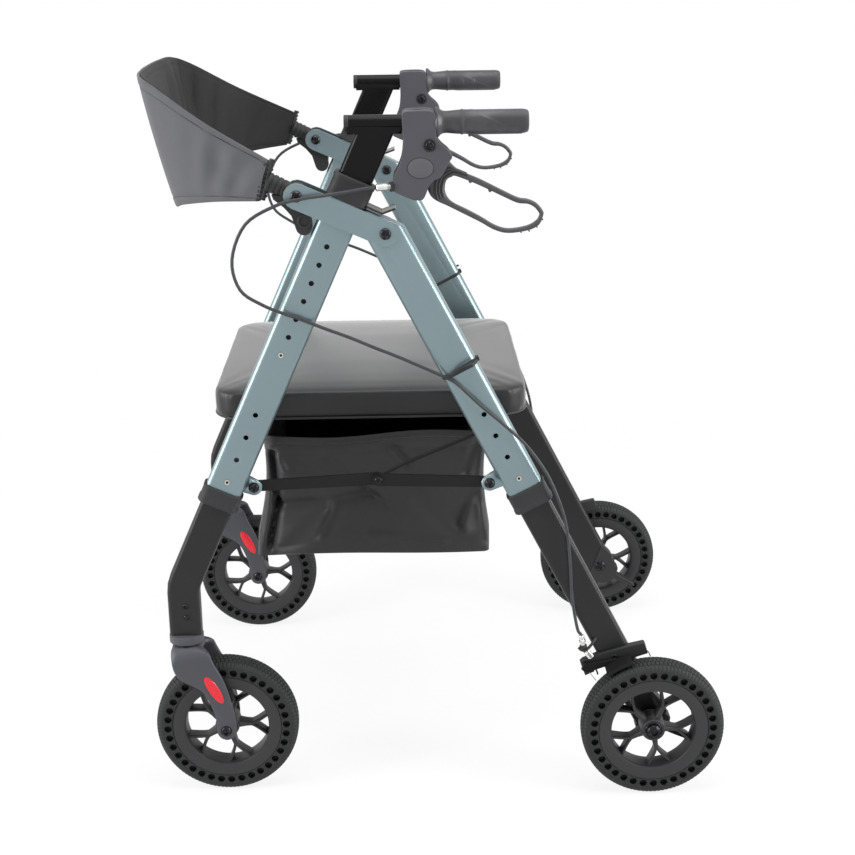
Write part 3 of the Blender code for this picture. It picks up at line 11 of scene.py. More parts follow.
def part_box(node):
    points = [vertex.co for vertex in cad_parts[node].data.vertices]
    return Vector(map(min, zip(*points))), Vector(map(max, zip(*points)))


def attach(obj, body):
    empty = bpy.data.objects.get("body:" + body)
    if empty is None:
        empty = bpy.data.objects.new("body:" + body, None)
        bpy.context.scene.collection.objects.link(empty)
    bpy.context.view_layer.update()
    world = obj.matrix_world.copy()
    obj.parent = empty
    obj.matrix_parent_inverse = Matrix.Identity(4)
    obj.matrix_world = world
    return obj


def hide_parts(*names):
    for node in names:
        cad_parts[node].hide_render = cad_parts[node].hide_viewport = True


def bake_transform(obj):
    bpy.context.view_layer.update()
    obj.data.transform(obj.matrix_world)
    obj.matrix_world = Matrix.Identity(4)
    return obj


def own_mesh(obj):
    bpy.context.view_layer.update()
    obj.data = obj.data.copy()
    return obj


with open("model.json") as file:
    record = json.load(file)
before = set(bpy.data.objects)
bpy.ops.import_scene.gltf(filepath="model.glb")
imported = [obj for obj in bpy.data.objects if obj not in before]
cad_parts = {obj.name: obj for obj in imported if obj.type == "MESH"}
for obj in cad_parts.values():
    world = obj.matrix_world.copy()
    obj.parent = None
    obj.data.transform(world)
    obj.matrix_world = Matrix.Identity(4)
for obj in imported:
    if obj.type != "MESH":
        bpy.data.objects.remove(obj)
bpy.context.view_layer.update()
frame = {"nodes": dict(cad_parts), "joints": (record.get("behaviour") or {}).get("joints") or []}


# Camera: it stands on the user's left, level with the handles and 2.3 m out from the frame's middle,
# and looks down a little at the whole walking frame. The lens is a short telephoto.
CAMERA_PLACE = Vector((2.2782, -0.0467, 1.1741))
CAMERA_YAW = 0.0181
CAMERA_PITCH = 0.3102
CAMERA_ROLL = -0.0129
LENS = 66.27

level_ahead = Vector((-cos(CAMERA_YAW), sin(CAMERA_YAW), 0))
ahead = level_ahead * cos(CAMERA_PITCH) - Vector((0, 0, sin(CAMERA_PITCH)))
level = ahead.cross(Vector((0, 0, 1))).normalized()
upright = level.cross(ahead)
across = cos(CAMERA_ROLL) * level + sin(CAMERA_ROLL) * upright
above = cos(CAMERA_ROLL) * upright - sin(CAMERA_ROLL) * level
camera = bpy.data.objects.new("camera", bpy.data.cameras.new("camera"))
bpy.context.scene.collection.objects.link(camera)
camera.data.lens = LENS
camera_turn = Matrix((across, above, -ahead)).transposed().to_4x4()
camera.matrix_world = Matrix.Translation(CAMERA_PLACE) @ camera_turn
bpy.context.scene.camera = camera
bpy.context.scene.view_settings.view_transform = "Standard"


# Studio: white paper under the walking frame, a wide soft box overhead, and a soft box and a strip off
# each end. Straight, mirrored and glass rays see plain white, and the paper keeps the soft shadow.
class Flow:
    """A number that runs through a shader; each sum written with it adds a Math node."""

    def __init__(self, nodes, socket):
        self.nodes = nodes
        self.socket = socket

    def math(self, operation, *terms):
        return self.nodes.add("Math", {"operation": operation}, dict(enumerate(terms)))

    def __add__(self, other):
        return self.math("ADD", self, other)

    def __mul__(self, other):
        return self.math("MULTIPLY", self, other)

    def __or__(self, other):
        return self.math("MAXIMUM", self, other)

    def ease(self, low, high):
        """0 below low, 1 above high and a soft step between."""
        return self.nodes.add("MapRange", {"interpolation_type": "SMOOTHSTEP"},
                              {"Value": self, "From Min": low, "From Max": high})

    __radd__ = __add__
    __rmul__ = __mul__


class Nodes:
    """The node tree of a material or of the world."""

    def __init__(self, owner):
        owner.use_nodes = True
        self.owner = owner
        self.tree = owner.node_tree

    def feed(self, socket, value):
        """Gives a socket a number, a colour or the end of a flow."""
        if isinstance(value, Flow):
            self.tree.links.new(value.socket, socket)
        elif isinstance(value, tuple) and socket.type == "RGBA":
            socket.default_value = (*value, 1.0)
        else:
            socket.default_value = value

    def add(self, kind, settings=None, inputs=None, output=0):
        """Any node: its type, its settings, what its sockets get, and the output wanted."""
        node = self.tree.nodes.new("ShaderNode" + kind)
        for key, value in (settings or {}).items():
            setattr(node, key, value)
        for key, value in (inputs or {}).items():
            self.feed(node.inputs[key], value)
        return Flow(self, node.outputs[output])

    def length_from(self, place, middle):
        """How far a place lies from a middle."""
        return self.add("VectorMath", {"operation": "DISTANCE"}, {0: place, 1: middle}, output="Value")


def shows_background(nodes):
    """1 for the rays that see the background: straight, mirrored and through glass."""
    straight, mirrored, through = (nodes.add("LightPath", output=name) for name in (
        "Is Camera Ray", "Is Glossy Ray", "Is Transmission Ray"))
    return straight | mirrored | through


AMBIENT = 0.32
world = bpy.data.worlds.new("white_studio")
bpy.context.scene.world = world
sky = Nodes(world)
sky.feed(sky.tree.nodes["Background"].inputs["Color"], (1.0, 1.0, 1.0))
sky.feed(sky.tree.nodes["Background"].inputs["Strength"], AMBIENT + (1 - AMBIENT) * shows_background(sky))

FLOOR_HALF = 60.0
FLOOR_GLOW = 0.85
SHADOW_REACH = (0.7, 1.7)
floor_mesh = bpy.data.meshes.new("floor")
floor_corners = [(x * FLOOR_HALF, y * FLOOR_HALF, 0.0) for x, y in ((-1, -1), (1, -1), (1, 1), (-1, 1))]
floor_mesh.from_pydata(floor_corners, [], [(0, 1, 2, 3)])
floor = bpy.data.objects.new("floor", floor_mesh)
bpy.context.scene.collection.objects.link(floor)
paper = Nodes(bpy.data.materials.new("white_paper"))
floor_mesh.materials.append(paper.owner)
far_out = paper.length_from(paper.add("TexCoord", output="Object"), (0.0, 0.0, 0.0)).ease(*SHADOW_REACH)
dull = paper.add("BsdfDiffuse", inputs={"Color": (0.9, 0.9, 0.9)})
glow = paper.add("Emission", inputs={"Color": (1.0, 1.0, 1.0)})
glowing = (FLOOR_GLOW + (1 - FLOOR_GLOW) * far_out) * shows_background(paper)
paper.feed(paper.tree.nodes["Material Output"].inputs["Surface"],
           paper.add("MixShader", inputs={0: glowing, 1: dull, 2: glow}))


def soft_box(name, place, target, width, height, watts):
    """A square lamp that faces a point; no camera sees it."""
    lamp = bpy.data.lights.new(name, "AREA")
    lamp.shape = "RECTANGLE"
    lamp.size = width
    lamp.size_y = height
    lamp.energy = watts
    box = bpy.data.objects.new(name, lamp)
    bpy.context.scene.collection.objects.link(box)
    heading = Vector(target) - Vector(place)
    box.matrix_world = Matrix.Translation(place) @ heading.to_track_quat("-Z", "Y").to_matrix().to_4x4()
    box.visible_camera = False


FRAME_MIDDLE = (0.0, 0.0, 0.5)
soft_box("overhead_box", (0.3, 0.1, 3.2), FRAME_MIDDLE, 2.4, 2.4, 55)
for name, y in (("front", -2.6), ("rear", 2.6)):
    soft_box(f"{name}_box", (0.5, y, 1.5), FRAME_MIDDLE, 2.2, 2.0, 40)
    soft_box(f"{name}_strip", (1.2, y, 1.1), FRAME_MIDDLE, 0.6, 2.4, 45)


# Upper frame tubes and side plates: drawn aluminium with a blue-grey metallic powder coat. The tubes' rows
# of holes take the snap pins, and a plate on each face of the front tube carries the fold bolt.
class Finish(Nodes):
    """A material made round one Principled shader. The slot name that it is given is kept but not used."""

    def __init__(self, name, slot, **steady):
        """steady holds the shader's sockets that stay the same all over the surface."""
        super().__init__(bpy.data.materials.new(name))
        self.slot = slot
        self.shader = self.tree.nodes["Principled BSDF"]
        self.shade(**steady)
        self.place = self.add("TexCoord", output="Object")

    def shade(self, **sockets):
        for name, value in sockets.items():
            label = name.replace("_", " ").title().replace("Ior", "IOR")
            self.feed(self.shader.inputs[label], value)

    def noise(self, scale, detail=2.0, stretch=(1.0, 1.0, 1.0)):
        """Cloudy noise from 0 to 1, finer with scale; stretch squeezes it along an axis."""
        spread = self.add("Mapping", inputs={"Vector": self.place, "Scale": stretch})
        return self.add("TexNoise", inputs={"Vector": spread, "Scale": scale, "Detail": detail})

    def tint(self, amount, dark, light):
        """A colour between two, by an amount from 0 to 1."""
        return self.add("Mix", {"data_type": "RGBA"}, {0: amount, 6: dark, 7: light}, output=2)

    def relief(self, height, depth, strength=1.0):
        """A bumped normal from a height of 0 to 1 and its real depth in metres."""
        sockets = {"Height": height, "Distance": depth, "Strength": strength}
        return self.add("Bump", inputs=sockets, output="Normal")


def powder_coat():
    """Metal flake in a clear coat, with the faint orange peel of powder."""
    finish = Finish("blue_grey_powder_coat", "blue_grey_paint", metallic=0.75)
    flake = finish.noise(2600, 1.0)
    cloud = finish.noise(7, 3.0)
    peel = finish.noise(700, 2.0)
    colour = finish.tint(0.4 * flake + 0.6 * cloud, (0.176, 0.243, 0.262), (0.249, 0.321, 0.342))
    finish.shade(base_color=colour, roughness=0.27 + 0.12 * cloud, normal=finish.relief(peel, 0.00005))
    return finish


def dress(finish, *nodes):
    """Gives CAD nodes their finish."""
    for node in nodes:
        for slot in frame["nodes"][node].material_slots:
            slot.material = finish.owner


MERGE_DISTANCE = 0.00001
COPY_SHARP = radians(50)


def merge(mesh, outward=False):
    """Joins points that lie together, and turns a closed surface outwards where asked."""
    shell = bmesh.new()
    shell.from_mesh(mesh)
    bmesh.ops.remove_doubles(shell, verts=shell.verts, dist=MERGE_DISTANCE)
    if outward:
        bmesh.ops.recalc_face_normals(shell, faces=shell.faces)
    shell.to_mesh(mesh)
    shell.free()


def even_copy(node, finish, body):
    """A copy of a CAD node with its loose triangles merged and its rounded corners shaded evenly."""
    mesh = frame["nodes"][node].data.copy()
    mesh.materials.clear()
    mesh.materials.append(finish.owner)
    merge(mesh)
    mesh.polygons.foreach_set("material_index", np.zeros(len(mesh.polygons), np.int32))
    mesh.shade_smooth()
    mesh.set_sharp_from_angle(angle=COPY_SHARP)
    made = bpy.data.objects.new(f"{node}_coated", mesh)
    bpy.context.scene.collection.objects.link(made)
    even = made.modifiers.new("even_shade", "WEIGHTED_NORMAL")
    even.keep_sharp = True
    even.weight = 100
    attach(made, body)
    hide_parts(node)


SIDES = {"left": 1, "right": -1}
BLUE_GREY = powder_coat()
for word in SIDES:
    dress(BLUE_GREY, f"side_plates_{word}")
    even_copy(f"front_tube_{word}", BLUE_GREY, "front_frame")
    even_copy(f"rear_tube_{word}", BLUE_GREY, "rear_frame")


# Collars: a moulded sleeve on each end of a frame tube that guides the sliding leg or handle. Each is
# charcoal nylon, pushed over the tube and held by its own spring. The collars' nylon is painted darker than
# the other charcoal parts: painted shade.
Part = namedtuple("Part", "points looped capped", defaults=(False, True))


def quads(rows, columns, looped):
    """The faces of a lattice whose rows are rings, and the row and column that each corner stands at."""
    row, column = np.meshgrid(np.arange(rows if looped else rows - 1), np.arange(columns), indexing="ij")
    row, column = row.ravel(), column.ravel()
    around = np.stack([(row, column), (row, column + 1), (row + 1, column + 1), (row + 1, column)])
    corners = around.transpose(2, 0, 1)
    return corners[..., 0] % rows * columns + corners[..., 1] % columns, corners


def spread(points, axis):
    """How far each row or column lies from the first: the mean steps between them, added up."""
    steps = np.linalg.norm(np.roll(points, -1, axis) - points, axis=2).mean(1 - axis)
    return np.concatenate(([0.0], np.cumsum(steps)))


def six_volumes(points, faces):
    """Six times the signed volume inside a fan of triangles over each face."""
    low, middle, high = (points[faces[:, i]] for i in (0, 1, 2))
    total = np.einsum("ij,ij->", low, np.cross(middle, high))
    if faces.shape[1] == 4:
        total += np.einsum("ij,ij->", low, np.cross(high, points[faces[:, 3]]))
    return total


def piece(name, parts, finish, body=None, sharp=35.0):
    """One mesh from lattices of points, each turned to face outwards, with a UV map in metres.

    The rows of a lattice are rings. A looped part joins its last ring to its first; otherwise a
    capped part gets a flat face on each end ring.
    """
    points, faces, map_places = [], [], []
    first = 0
    for part in parts:
        rows, columns = part.points.shape[:2]
        flat = part.points.reshape(-1, 3) - part.points.reshape(-1, 3).mean(0)
        own, corners = quads(rows, columns, part.looped)
        place = np.stack([spread(part.points, axis)[corners[..., axis]] for axis in (0, 1)], axis=2)
        ring = np.arange(columns)
        ends = [ring[::-1], ring + (rows - 1) * columns] if part.capped and not part.looped else []
        volume = six_volumes(flat, own)
        for end in ends:
            volume += six_volumes(flat, np.stack((np.full(columns - 2, end[0]), end[1:-1], end[2:]), axis=1))
        if volume < 0:
            own, place, ends = own[:, ::-1], place[:, ::-1], [end[::-1] for end in ends]
        points.append(part.points.reshape(-1, 3))
        faces += (own + first).tolist() + [(end + first).tolist() for end in ends]
        map_places += [place.reshape(-1, 2)] + [np.zeros((columns, 2))] * len(ends)
        first += rows * columns
    mesh = bpy.data.meshes.new(name)
    mesh.from_pydata(np.concatenate(points), [], faces)
    uv = mesh.uv_layers.new(name="UVMap")
    uv.data.foreach_set("uv", np.concatenate(map_places).astype(np.float32).ravel())
    mesh.shade_smooth()
    mesh.set_sharp_from_angle(angle=radians(sharp))
    mesh.materials.append(finish.owner)
    made = bpy.data.objects.new(name, mesh)
    bpy.context.scene.collection.objects.link(made)
    if body:
        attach(made, body)
    return made


def joint_value(name, key):
    return np.array(next(joint[key] for joint in frame["joints"] if joint["name"] == name), float)


def beside(side, up=(0.0, 0.0, 1.0), foot=(0.0, 0.0, 0.0)):
    """A function that stands parts beside one side's tubes.

    A point (outward, rearward, along) goes outward from the tubes' middle plane, and rearward and along
    in a frame that starts at the foot and whose along axis is up.
    """
    def stand(*parts):
        placed = []
        for part in parts:
            outward, rearward, along = np.moveaxis(part.points, 2, 0)
            world_points = (side * (TRACK + outward), foot[1] + rearward * up[2] + along * up[1],
                            foot[2] - rearward * up[1] + along * up[2])
            placed.append(part._replace(points=np.stack(world_points, axis=2)))
        return placed
    return stand


def reach_along(path):
    """How far each point of a path lies from its first, along the path."""
    return np.concatenate(([0.0], np.cumsum(np.linalg.norm(np.diff(path, axis=0), axis=1))))


def rounded_ring(half_x, half_y, corner, count):
    """Points (x, y) spaced evenly round a rectangle whose corners are arcs."""
    angle = np.linspace(0, 2 * pi, 4 * 12, endpoint=False) + pi / 48
    dense = np.stack((np.sign(np.cos(angle)) * (half_x - corner) + corner * np.cos(angle),
                      np.sign(np.sin(angle)) * (half_y - corner) + corner * np.sin(angle)), axis=1)
    closed = np.vstack((dense, dense[:1]))
    reach = reach_along(closed)
    even = np.linspace(0, reach[-1], count, endpoint=False)
    return np.stack([np.interp(even, reach, closed[:, i]) for i in (0, 1)], axis=1)


def at_height(ring, height):
    """A ring of points (x, y), at one height or at a height for each."""
    return np.column_stack((ring, np.broadcast_to(height, len(ring))))


TUBE_STEPS = 56


def tube_rings(heights, growths, half_x, half_y, corner):
    """A lattice round a straight tube: at each height, the tube's section grown by a margin."""
    rings = []
    for height, grow in zip(heights, growths):
        ring = rounded_ring(half_x + grow, half_y + grow, corner + grow, TUBE_STEPS)
        rings.append(at_height(ring, height))
    return np.stack(rings)


def mm(*rows):
    """Rows of millimetres, as an array in metres."""
    return np.array(rows, float) / 1000


def coating(name, slot, dark, light, cloud, rough, grain=None, **steady):
    """A finish whose colour and roughness follow soft clouds, over an even grain.

    Cloud is the clouds' scale and detail, and the low and high level of a step where they are blotches.
    Rough is the least roughness and what the clouds add. Grain is its scale, its detail and its depth.
    """
    finish = Finish(name, slot, **steady)
    spots = finish.noise(*cloud[:2])
    if len(cloud) > 2:
        spots = spots.ease(*cloud[2:])
    finish.shade(base_color=finish.tint(spots, dark, light), roughness=rough[0] + rough[1] * spots)
    if grain:
        finish.shade(normal=finish.relief(finish.noise(*grain[:2]), grain[2]))
    return finish


def moulded_plastic(name, slot, dark, light, roughness=0.5, level=0.35):
    """Spark-eroded moulded plastic: fine grain in the surface and soft clouds in the colour."""
    return coating(name, slot, dark, light, (14, 3.0), (roughness, 0.14), (1900, 2.0, 0.00006),
                   specular_ior_level=level)


def side_piece(name, word, parts, finish, body, frame_of=(), sharp=35.0):
    """A piece of one side, named for it, whose parts stand beside that side's tubes."""
    parts = beside(SIDES[word], *frame_of)(*parts)
    return piece(f"{name}_{word}", parts, finish, body_of(body, word), sharp)


def body_of(stem, word):
    """The body of a frame half or of the backrest, or of one side's handle, leg, fork or lever."""
    return stem if stem in ("front_frame", "rear_frame", "backrest") else f"{stem}_{word}"


TRACK = (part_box("front_tyre_left")[0].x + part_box("front_tyre_left")[1].x) / 2
FOLD_PIVOT = joint_value("frame_fold", "pos_m")
FRONT_TUBE = (joint_value("handle_height_left", "axis"), np.array((0.0, -0.2877, 0.447)))
REAR_TUBE = (joint_value("rear_leg_height_left", "axis"), FOLD_PIVOT)
FRONT_TUBE_LENGTH = 0.4373
REAR_TUBE_LENGTH = 0.4007
TUBE_HALF_X = 0.014
TUBE_HALF_Y = 0.025
TUBE_CORNER = 0.008
COLLAR_SKIRT = mm((0, 0.5), (0, 2), (1, 3), (3, 3), (4.2, 2.3))
COLLAR_LIP = mm((-7, 2.3), (-5.5, 3.2), (-1.5, 3.2), (0, 1.6), (0, -2.3))
COLLAR_STEP = mm((1, -2.3), (1, 0.5))


def collar(tube_end, direction, skirt_length, lip_length):
    """Sleeve over a tube's end: a rolled skirt, a body and a lip that closes in on the sliding tube.

    The profile is three tables of a place along the tube and a growth of the tube's section. They start
    at the skirt, at the lip and at the tube's end.
    """
    starts = (tube_end - direction * skirt_length, tube_end + direction * lip_length, tube_end)
    profile = np.vstack([table * (direction, 1) + (start, 0)
                         for table, start in zip((COLLAR_SKIRT, COLLAR_LIP, COLLAR_STEP), starts)])
    return Part(tube_rings(*profile.T, TUBE_HALF_X, TUBE_HALF_Y, TUBE_CORNER), looped=True)


COLLARS = {  # the tube, the place of its end, the way that the sleeve faces, and its two lengths
    "handle_collar": (FRONT_TUBE, "front_frame", FRONT_TUBE_LENGTH, 1, 0.0080, 0.0235),
    "front_leg_collar": (FRONT_TUBE, "front_frame", 0.0, -1, 0.0045, 0.0210),
    "rear_leg_collar": (REAR_TUBE, "rear_frame", -REAR_TUBE_LENGTH, -1, 0.0050, 0.0240),
}
CHARCOAL = moulded_plastic("charcoal_nylon", "charcoal_plastic", (0.052, 0.052, 0.062),
                           (0.074, 0.074, 0.086))
# A darker copy of the charcoal nylon for the collars: painted shade, not a different plastic.
SHADED_COLLAR_NYLON = moulded_plastic("collar_nylon", "charcoal_plastic", (0.022, 0.022, 0.024),
                               (0.034, 0.034, 0.036), level=0.26)
for word in SIDES:
    for node, (tube, body, *sizes) in COLLARS.items():
        sleeve = side_piece(f"{node}_sleeve", word, [collar(*sizes)], SHADED_COLLAR_NYLON, body, tube)
        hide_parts(f"{node}_{word}")


# Rear tube plugs: black nylon lids in the mitred tops of the rear tubes, a little proud of the tube.
def bend(wave, power):
    """A wave between -1 and 1 to a power, with its sign kept."""
    return np.sign(wave) * np.abs(wave) ** power


def unit(vectors):
    """Vectors, each drawn to a length of one."""
    vectors = np.asarray(vectors, float)
    return vectors / np.linalg.norm(vectors, axis=-1, keepdims=True)


def sweep(path, aside, half_aside, half_across, squareness=2.0, steps=16, looped=False):
    """A lattice: a superellipse carried along a path.

    Point (u, v) is path(u) + aside(u) * half_aside(u) * c(v) + across(u) * half_across(u) * s(v), where c
    and s are the cosine and the sine of v to the power 2 / squareness with their signs kept.
    """
    path = np.asarray(path, float)
    ahead = unit(np.roll(path, -1, 0) - np.roll(path, 1, 0) if looped else np.gradient(path, axis=0))
    sideways = np.broadcast_to(np.asarray(aside, float), path.shape)
    sideways = unit(sideways - ahead * np.sum(sideways * ahead, axis=1, keepdims=True))
    normal = np.cross(ahead, sideways)
    angle = np.linspace(0, 2 * pi, steps, endpoint=False)
    c, s = (bend(wave, 2 / squareness) for wave in (np.cos(angle), np.sin(angle)))
    wide = np.broadcast_to(half_aside, len(path))[:, None] * c
    high = np.broadcast_to(half_across, len(path))[:, None] * s
    section = sideways[:, None] * wide[..., None] + normal[:, None] * high[..., None]
    return Part(path[:, None] + section, looped)


def smooth(points, pieces, closed=False):
    """Points on a Catmull-Rom curve through the given ones, so many to each span."""
    points = np.asarray(points, float)
    if closed:
        before, start, end, after = (np.roll(points, shift, 0) for shift in (1, 0, -1, -2))
    else:
        longer = np.vstack((2 * points[0] - points[1], points, 2 * points[-1] - points[-2]))
        before, start, end, after = longer[:-3], longer[1:-2], longer[2:-1], longer[3:]
    t = (np.arange(pieces) / pieces)[None, :, None]
    before, start, end, after = (p[:, None] for p in (before, start, end, after))
    curve = 0.5 * (2 * start + (end - before) * t + (2 * before - 5 * start + 4 * end - after) * t ** 2
                   + (3 * start - before - 3 * end + after) * t ** 3)
    curve = curve.reshape(-1, points.shape[1])
    return curve if closed else np.vstack((curve, points[-1]))


OUTWARD = (1.0, 0.0, 0.0)
BOTH_FACES = (-1, 1)
PLUG_ROUTE = mm((0, -84.2, 831.8), (0, -66, 823.2), (0, -64, 823.1), (0, -48, 828.8))
PLUG_HALF_WIDTH = 0.0146
BLACK_NYLON = moulded_plastic("black_nylon_moulding", "black_rubber", (0.014, 0.0145, 0.015),
                              (0.022, 0.0225, 0.023))
PLUG_NYLON = moulded_plastic("plug_nylon", "black_rubber", (0.10, 0.10, 0.095), (0.14, 0.14, 0.13),
                             roughness=0.22, level=1.0)
for word in SIDES:
    route = smooth(PLUG_ROUTE, 4)
    lid = sweep(route, OUTWARD, PLUG_HALF_WIDTH - 0.0012, 0.0013, squareness=6, steps=24)
    lips = [sweep(route + (face * PLUG_HALF_WIDTH, 0, 0), OUTWARD, 0.0010, 0.0014, steps=10)
            for face in BOTH_FACES]
    side_piece("rear_tube_plug", word, [lid], PLUG_NYLON, "rear_frame")
    side_piece("rear_tube_plug_lips", word, lips, BLACK_NYLON, "rear_frame")


# Frame bolts: black button heads with a hexagon socket, on both faces of the side plates and on the outer
# faces of the strut lugs.
def lathe(middle, axis, profile, steps=32, wave=1.0):
    """A lattice: a profile of heights and radii turned about an axis through a middle.

    Point (u, v) is middle + axis * height(u) + (first * cos v + second * sin v) * radius(u) * wave(u, v).
    """
    heights, radii = np.asarray(profile, float).T[..., None]
    axis = unit(axis)
    first = unit(np.cross(axis, (0.0, 0.0, 1.0) if abs(axis[2]) < 0.9 else OUTWARD))
    second = np.cross(axis, first)
    angle = np.linspace(0, 2 * pi, steps, endpoint=False)
    spin = np.cos(angle)[:, None] * first + np.sin(angle)[:, None] * second
    reach = np.broadcast_to(radii * wave, (len(heights), steps))
    return Part(np.asarray(middle, float) + heights[..., None] * axis + reach[..., None] * spin)


HEAD_PROFILE = np.array([  # shares of the rise and of the radius, from the rim in to the socket's floor
    (0.0, 1.0), (0.35, 0.99), (0.7, 0.88), (0.92, 0.7), (1.0, 0.56), (1.0, 0.5), (0.97, 0.47), (0.6, 0.46),
    (0.6, 0.02),
])
HEAD_SOCKET_ROW = 5


def bolt_head(middle, axis, radius, rise):
    """A domed head with a hexagon socket. The socket's rings are a circle drawn in to six flats."""
    angle = np.linspace(0, 2 * pi, 36, endpoint=False)
    wave = np.ones((len(HEAD_PROFILE), len(angle)))
    wave[HEAD_SOCKET_ROW:] = cos(pi / 6) / np.cos(angle % (pi / 3) - pi / 6)
    return lathe(middle, axis, HEAD_PROFILE * (rise, radius), len(angle), wave)


PLATE_FACE = 0.0173
PLATE_BOLTS = ((-0.1734, 0.8467), (-0.0613, 0.797))
PLATE_HEAD = (0.0077, 0.0052)
FRONT_EAR = (-0.2456, 0.4521)
REAR_EAR = (0.0722, 0.4540)
EAR_HEAD = (0.0074, 0.0052)
BLACK_STEEL = coating("black_zinc_steel", "zinc", (0.016, 0.016, 0.018), (0.075, 0.075, 0.08),
                      (260, 3.0, 0.52, 0.7), (0.24, 0.2), metallic=0.85)
for word in SIDES:
    heads = [bolt_head((face * PLATE_FACE, *bolt), (face, 0, 0), *PLATE_HEAD)
             for bolt in PLATE_BOLTS for face in BOTH_FACES]
    heads.append(bolt_head((0.003, *FRONT_EAR), OUTWARD, *EAR_HEAD))
    side_piece("front_frame_bolts", word, heads, BLACK_STEEL, "front_frame")
    rear_head = bolt_head((0.0085, *REAR_EAR), OUTWARD, *EAR_HEAD)
    side_piece("rear_ear_bolt", word, [rear_head], BLACK_STEEL, "rear_frame")


# Brake cables: a ribbed black sheath on each side, from the brake housing round to the front tube, across
# to a tie on the rear tube, and down to the rear brake. Each is in three lengths that meet on the tubes.
CABLE_RADIUS = 0.0022
CABLE_ROUTES = {
    "upper": mm((21.9, -72.8, 857.1), (25.5, -83.9, 857.1), (26.2, -101, 854.2), (26.2, -129, 850),
                (26.2, -167.7, 844.8), (28, -199.4, 837), (30, -238.1, 814.1), (30, -256.7, 769.5),
                (30, -248.4, 730.4), (26, -221.6, 709.4), (21, -193, 695.5), (19.5, -179, 690.2)),
    "middle": mm((19.5, -178.7, 690.1), (19.5, -140, 674), (19.5, -110, 662.3), (19.5, -78, 648),
                 (19.5, -45.6, 634.3), (19.5, 15.6, 605.7)),
    "lower": mm((19.5, 15.9, 605.5), (19.5, 30, 596.2), (19.5, 58.8, 567.9), (19.5, 98.5, 532.5),
                (19.5, 125.3, 504), (19, 152.5, 461), (18.5, 173.6, 402.8), (18.5, 181.4, 343.8),
                (19, 185, 290), (24, 192.2, 245.2), (24, 197.7, 234.5)),
}
CABLE_BODIES = {"upper": ("handle", "front_frame"), "middle": ("front_frame", "rear_frame"),
                "lower": ("rear_frame", "rear_leg")}
CABLE_TURNS = {"upper": (2, 8), "middle": (1, 4), "lower": (4, 8)}
SHEATH = coating("cable_sheath", "black_rubber", (0.02, 0.021, 0.024), (0.05, 0.051, 0.056),
                 (90, 3.0), (0.36, 0.2), (900, 1.0, 0.00004), specular_ior_level=0.4)
for word, side in SIDES.items():
    for stretch, table in CABLE_ROUTES.items():
        route = table * (side, 1, 1) + (side * TRACK, 0, 0)
        path = smooth(route, 5)
        skin = sweep(path, (0.3, 0.2, 1.0), CABLE_RADIUS, CABLE_RADIUS, steps=14)
        sheath = piece(f"brake_cable_sheath_{stretch}_{word}", [skin], SHEATH)
        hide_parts(f"brake_cable_{stretch}_{word}")
        near, far = (body_of(stem, word) for stem in CABLE_BODIES[stretch])
        start, end = (tuple(route[i]) for i in CABLE_TURNS[stretch])
        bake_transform(sheath)


# Cable ties: black nylon, round the rear tube and the cable. The tail is left long and sticks out rearward.
UPWARD = (0.0, 0.0, 1.0)
TIE_MARGIN = 0.0007
TIE_BULGE = 0.0068
TIE_STEPS = 40


def tube_tie(stand, height):
    """A strap in a closed ring round a tube, with its pull-through head on the rear face."""
    half_x, half_y = TUBE_HALF_X + TIE_MARGIN, TUBE_HALF_Y + TIE_MARGIN
    ring = rounded_ring(half_x, half_y, TUBE_CORNER, TIE_STEPS)
    bulge = np.maximum(ring[:, 0] / half_x, 0) ** 8 * TIE_BULGE
    path = np.column_stack((ring[:, 0] + bulge, ring[:, 1], np.full(TIE_STEPS, height)))
    strap = sweep(path, UPWARD, 0.0023, 0.0008, squareness=5, steps=12, looped=True)
    head_path = [(-0.004, half_y + 0.0008, height), (0.004, half_y + 0.0008, height)]
    head = sweep(np.linspace(*head_path, 6), UPWARD, 0.0030, 0.0022, squareness=5, steps=16)
    return stand(strap, head)


TIE_PLACE = np.array((0.0156, 0.6055))
TIE_TAIL = mm((24, 15.6, 605.5), (23.5, 30, 617), (22, 45, 627), (19.5, 55.1, 631.9))
for word, side in SIDES.items():
    stand = beside(side, *REAR_TUBE)
    height = (TIE_PLACE - FOLD_PIVOT[1:]) @ REAR_TUBE[0][1:]
    tail = sweep(smooth(TIE_TAIL, 5), (0, -0.6, 0.8), 0.0016, 0.0007, squareness=5, steps=8)
    piece(f"cable_tie_{word}", tube_tie(stand, height) + beside(side)(tail), BLACK_NYLON, "rear_frame")


# Legs: dark anodised inner tubes. The front one bends upright over the caster and ends in a plastic cap,
# held by two screws. The rear one carries the brake's crossbar, the axle and a foot lever for kerbs.
def anodised(name, dark, light, roughness, metallic, level):
    """Drawn aluminium with a dark anodic film: faint lines along the tube and soft clouds."""
    finish = Finish(name, "black_anodised", metallic=metallic, specular_ior_level=level)
    drawn = finish.noise(420, 2.0, (1.0, 0.03, 0.03))
    cloud = finish.noise(9, 3.0)
    colour = finish.tint(0.35 * drawn + 0.65 * cloud, dark, light)
    finish.shade(base_color=colour, roughness=roughness + 0.1 * cloud, normal=finish.relief(drawn, 0.00002))
    return finish


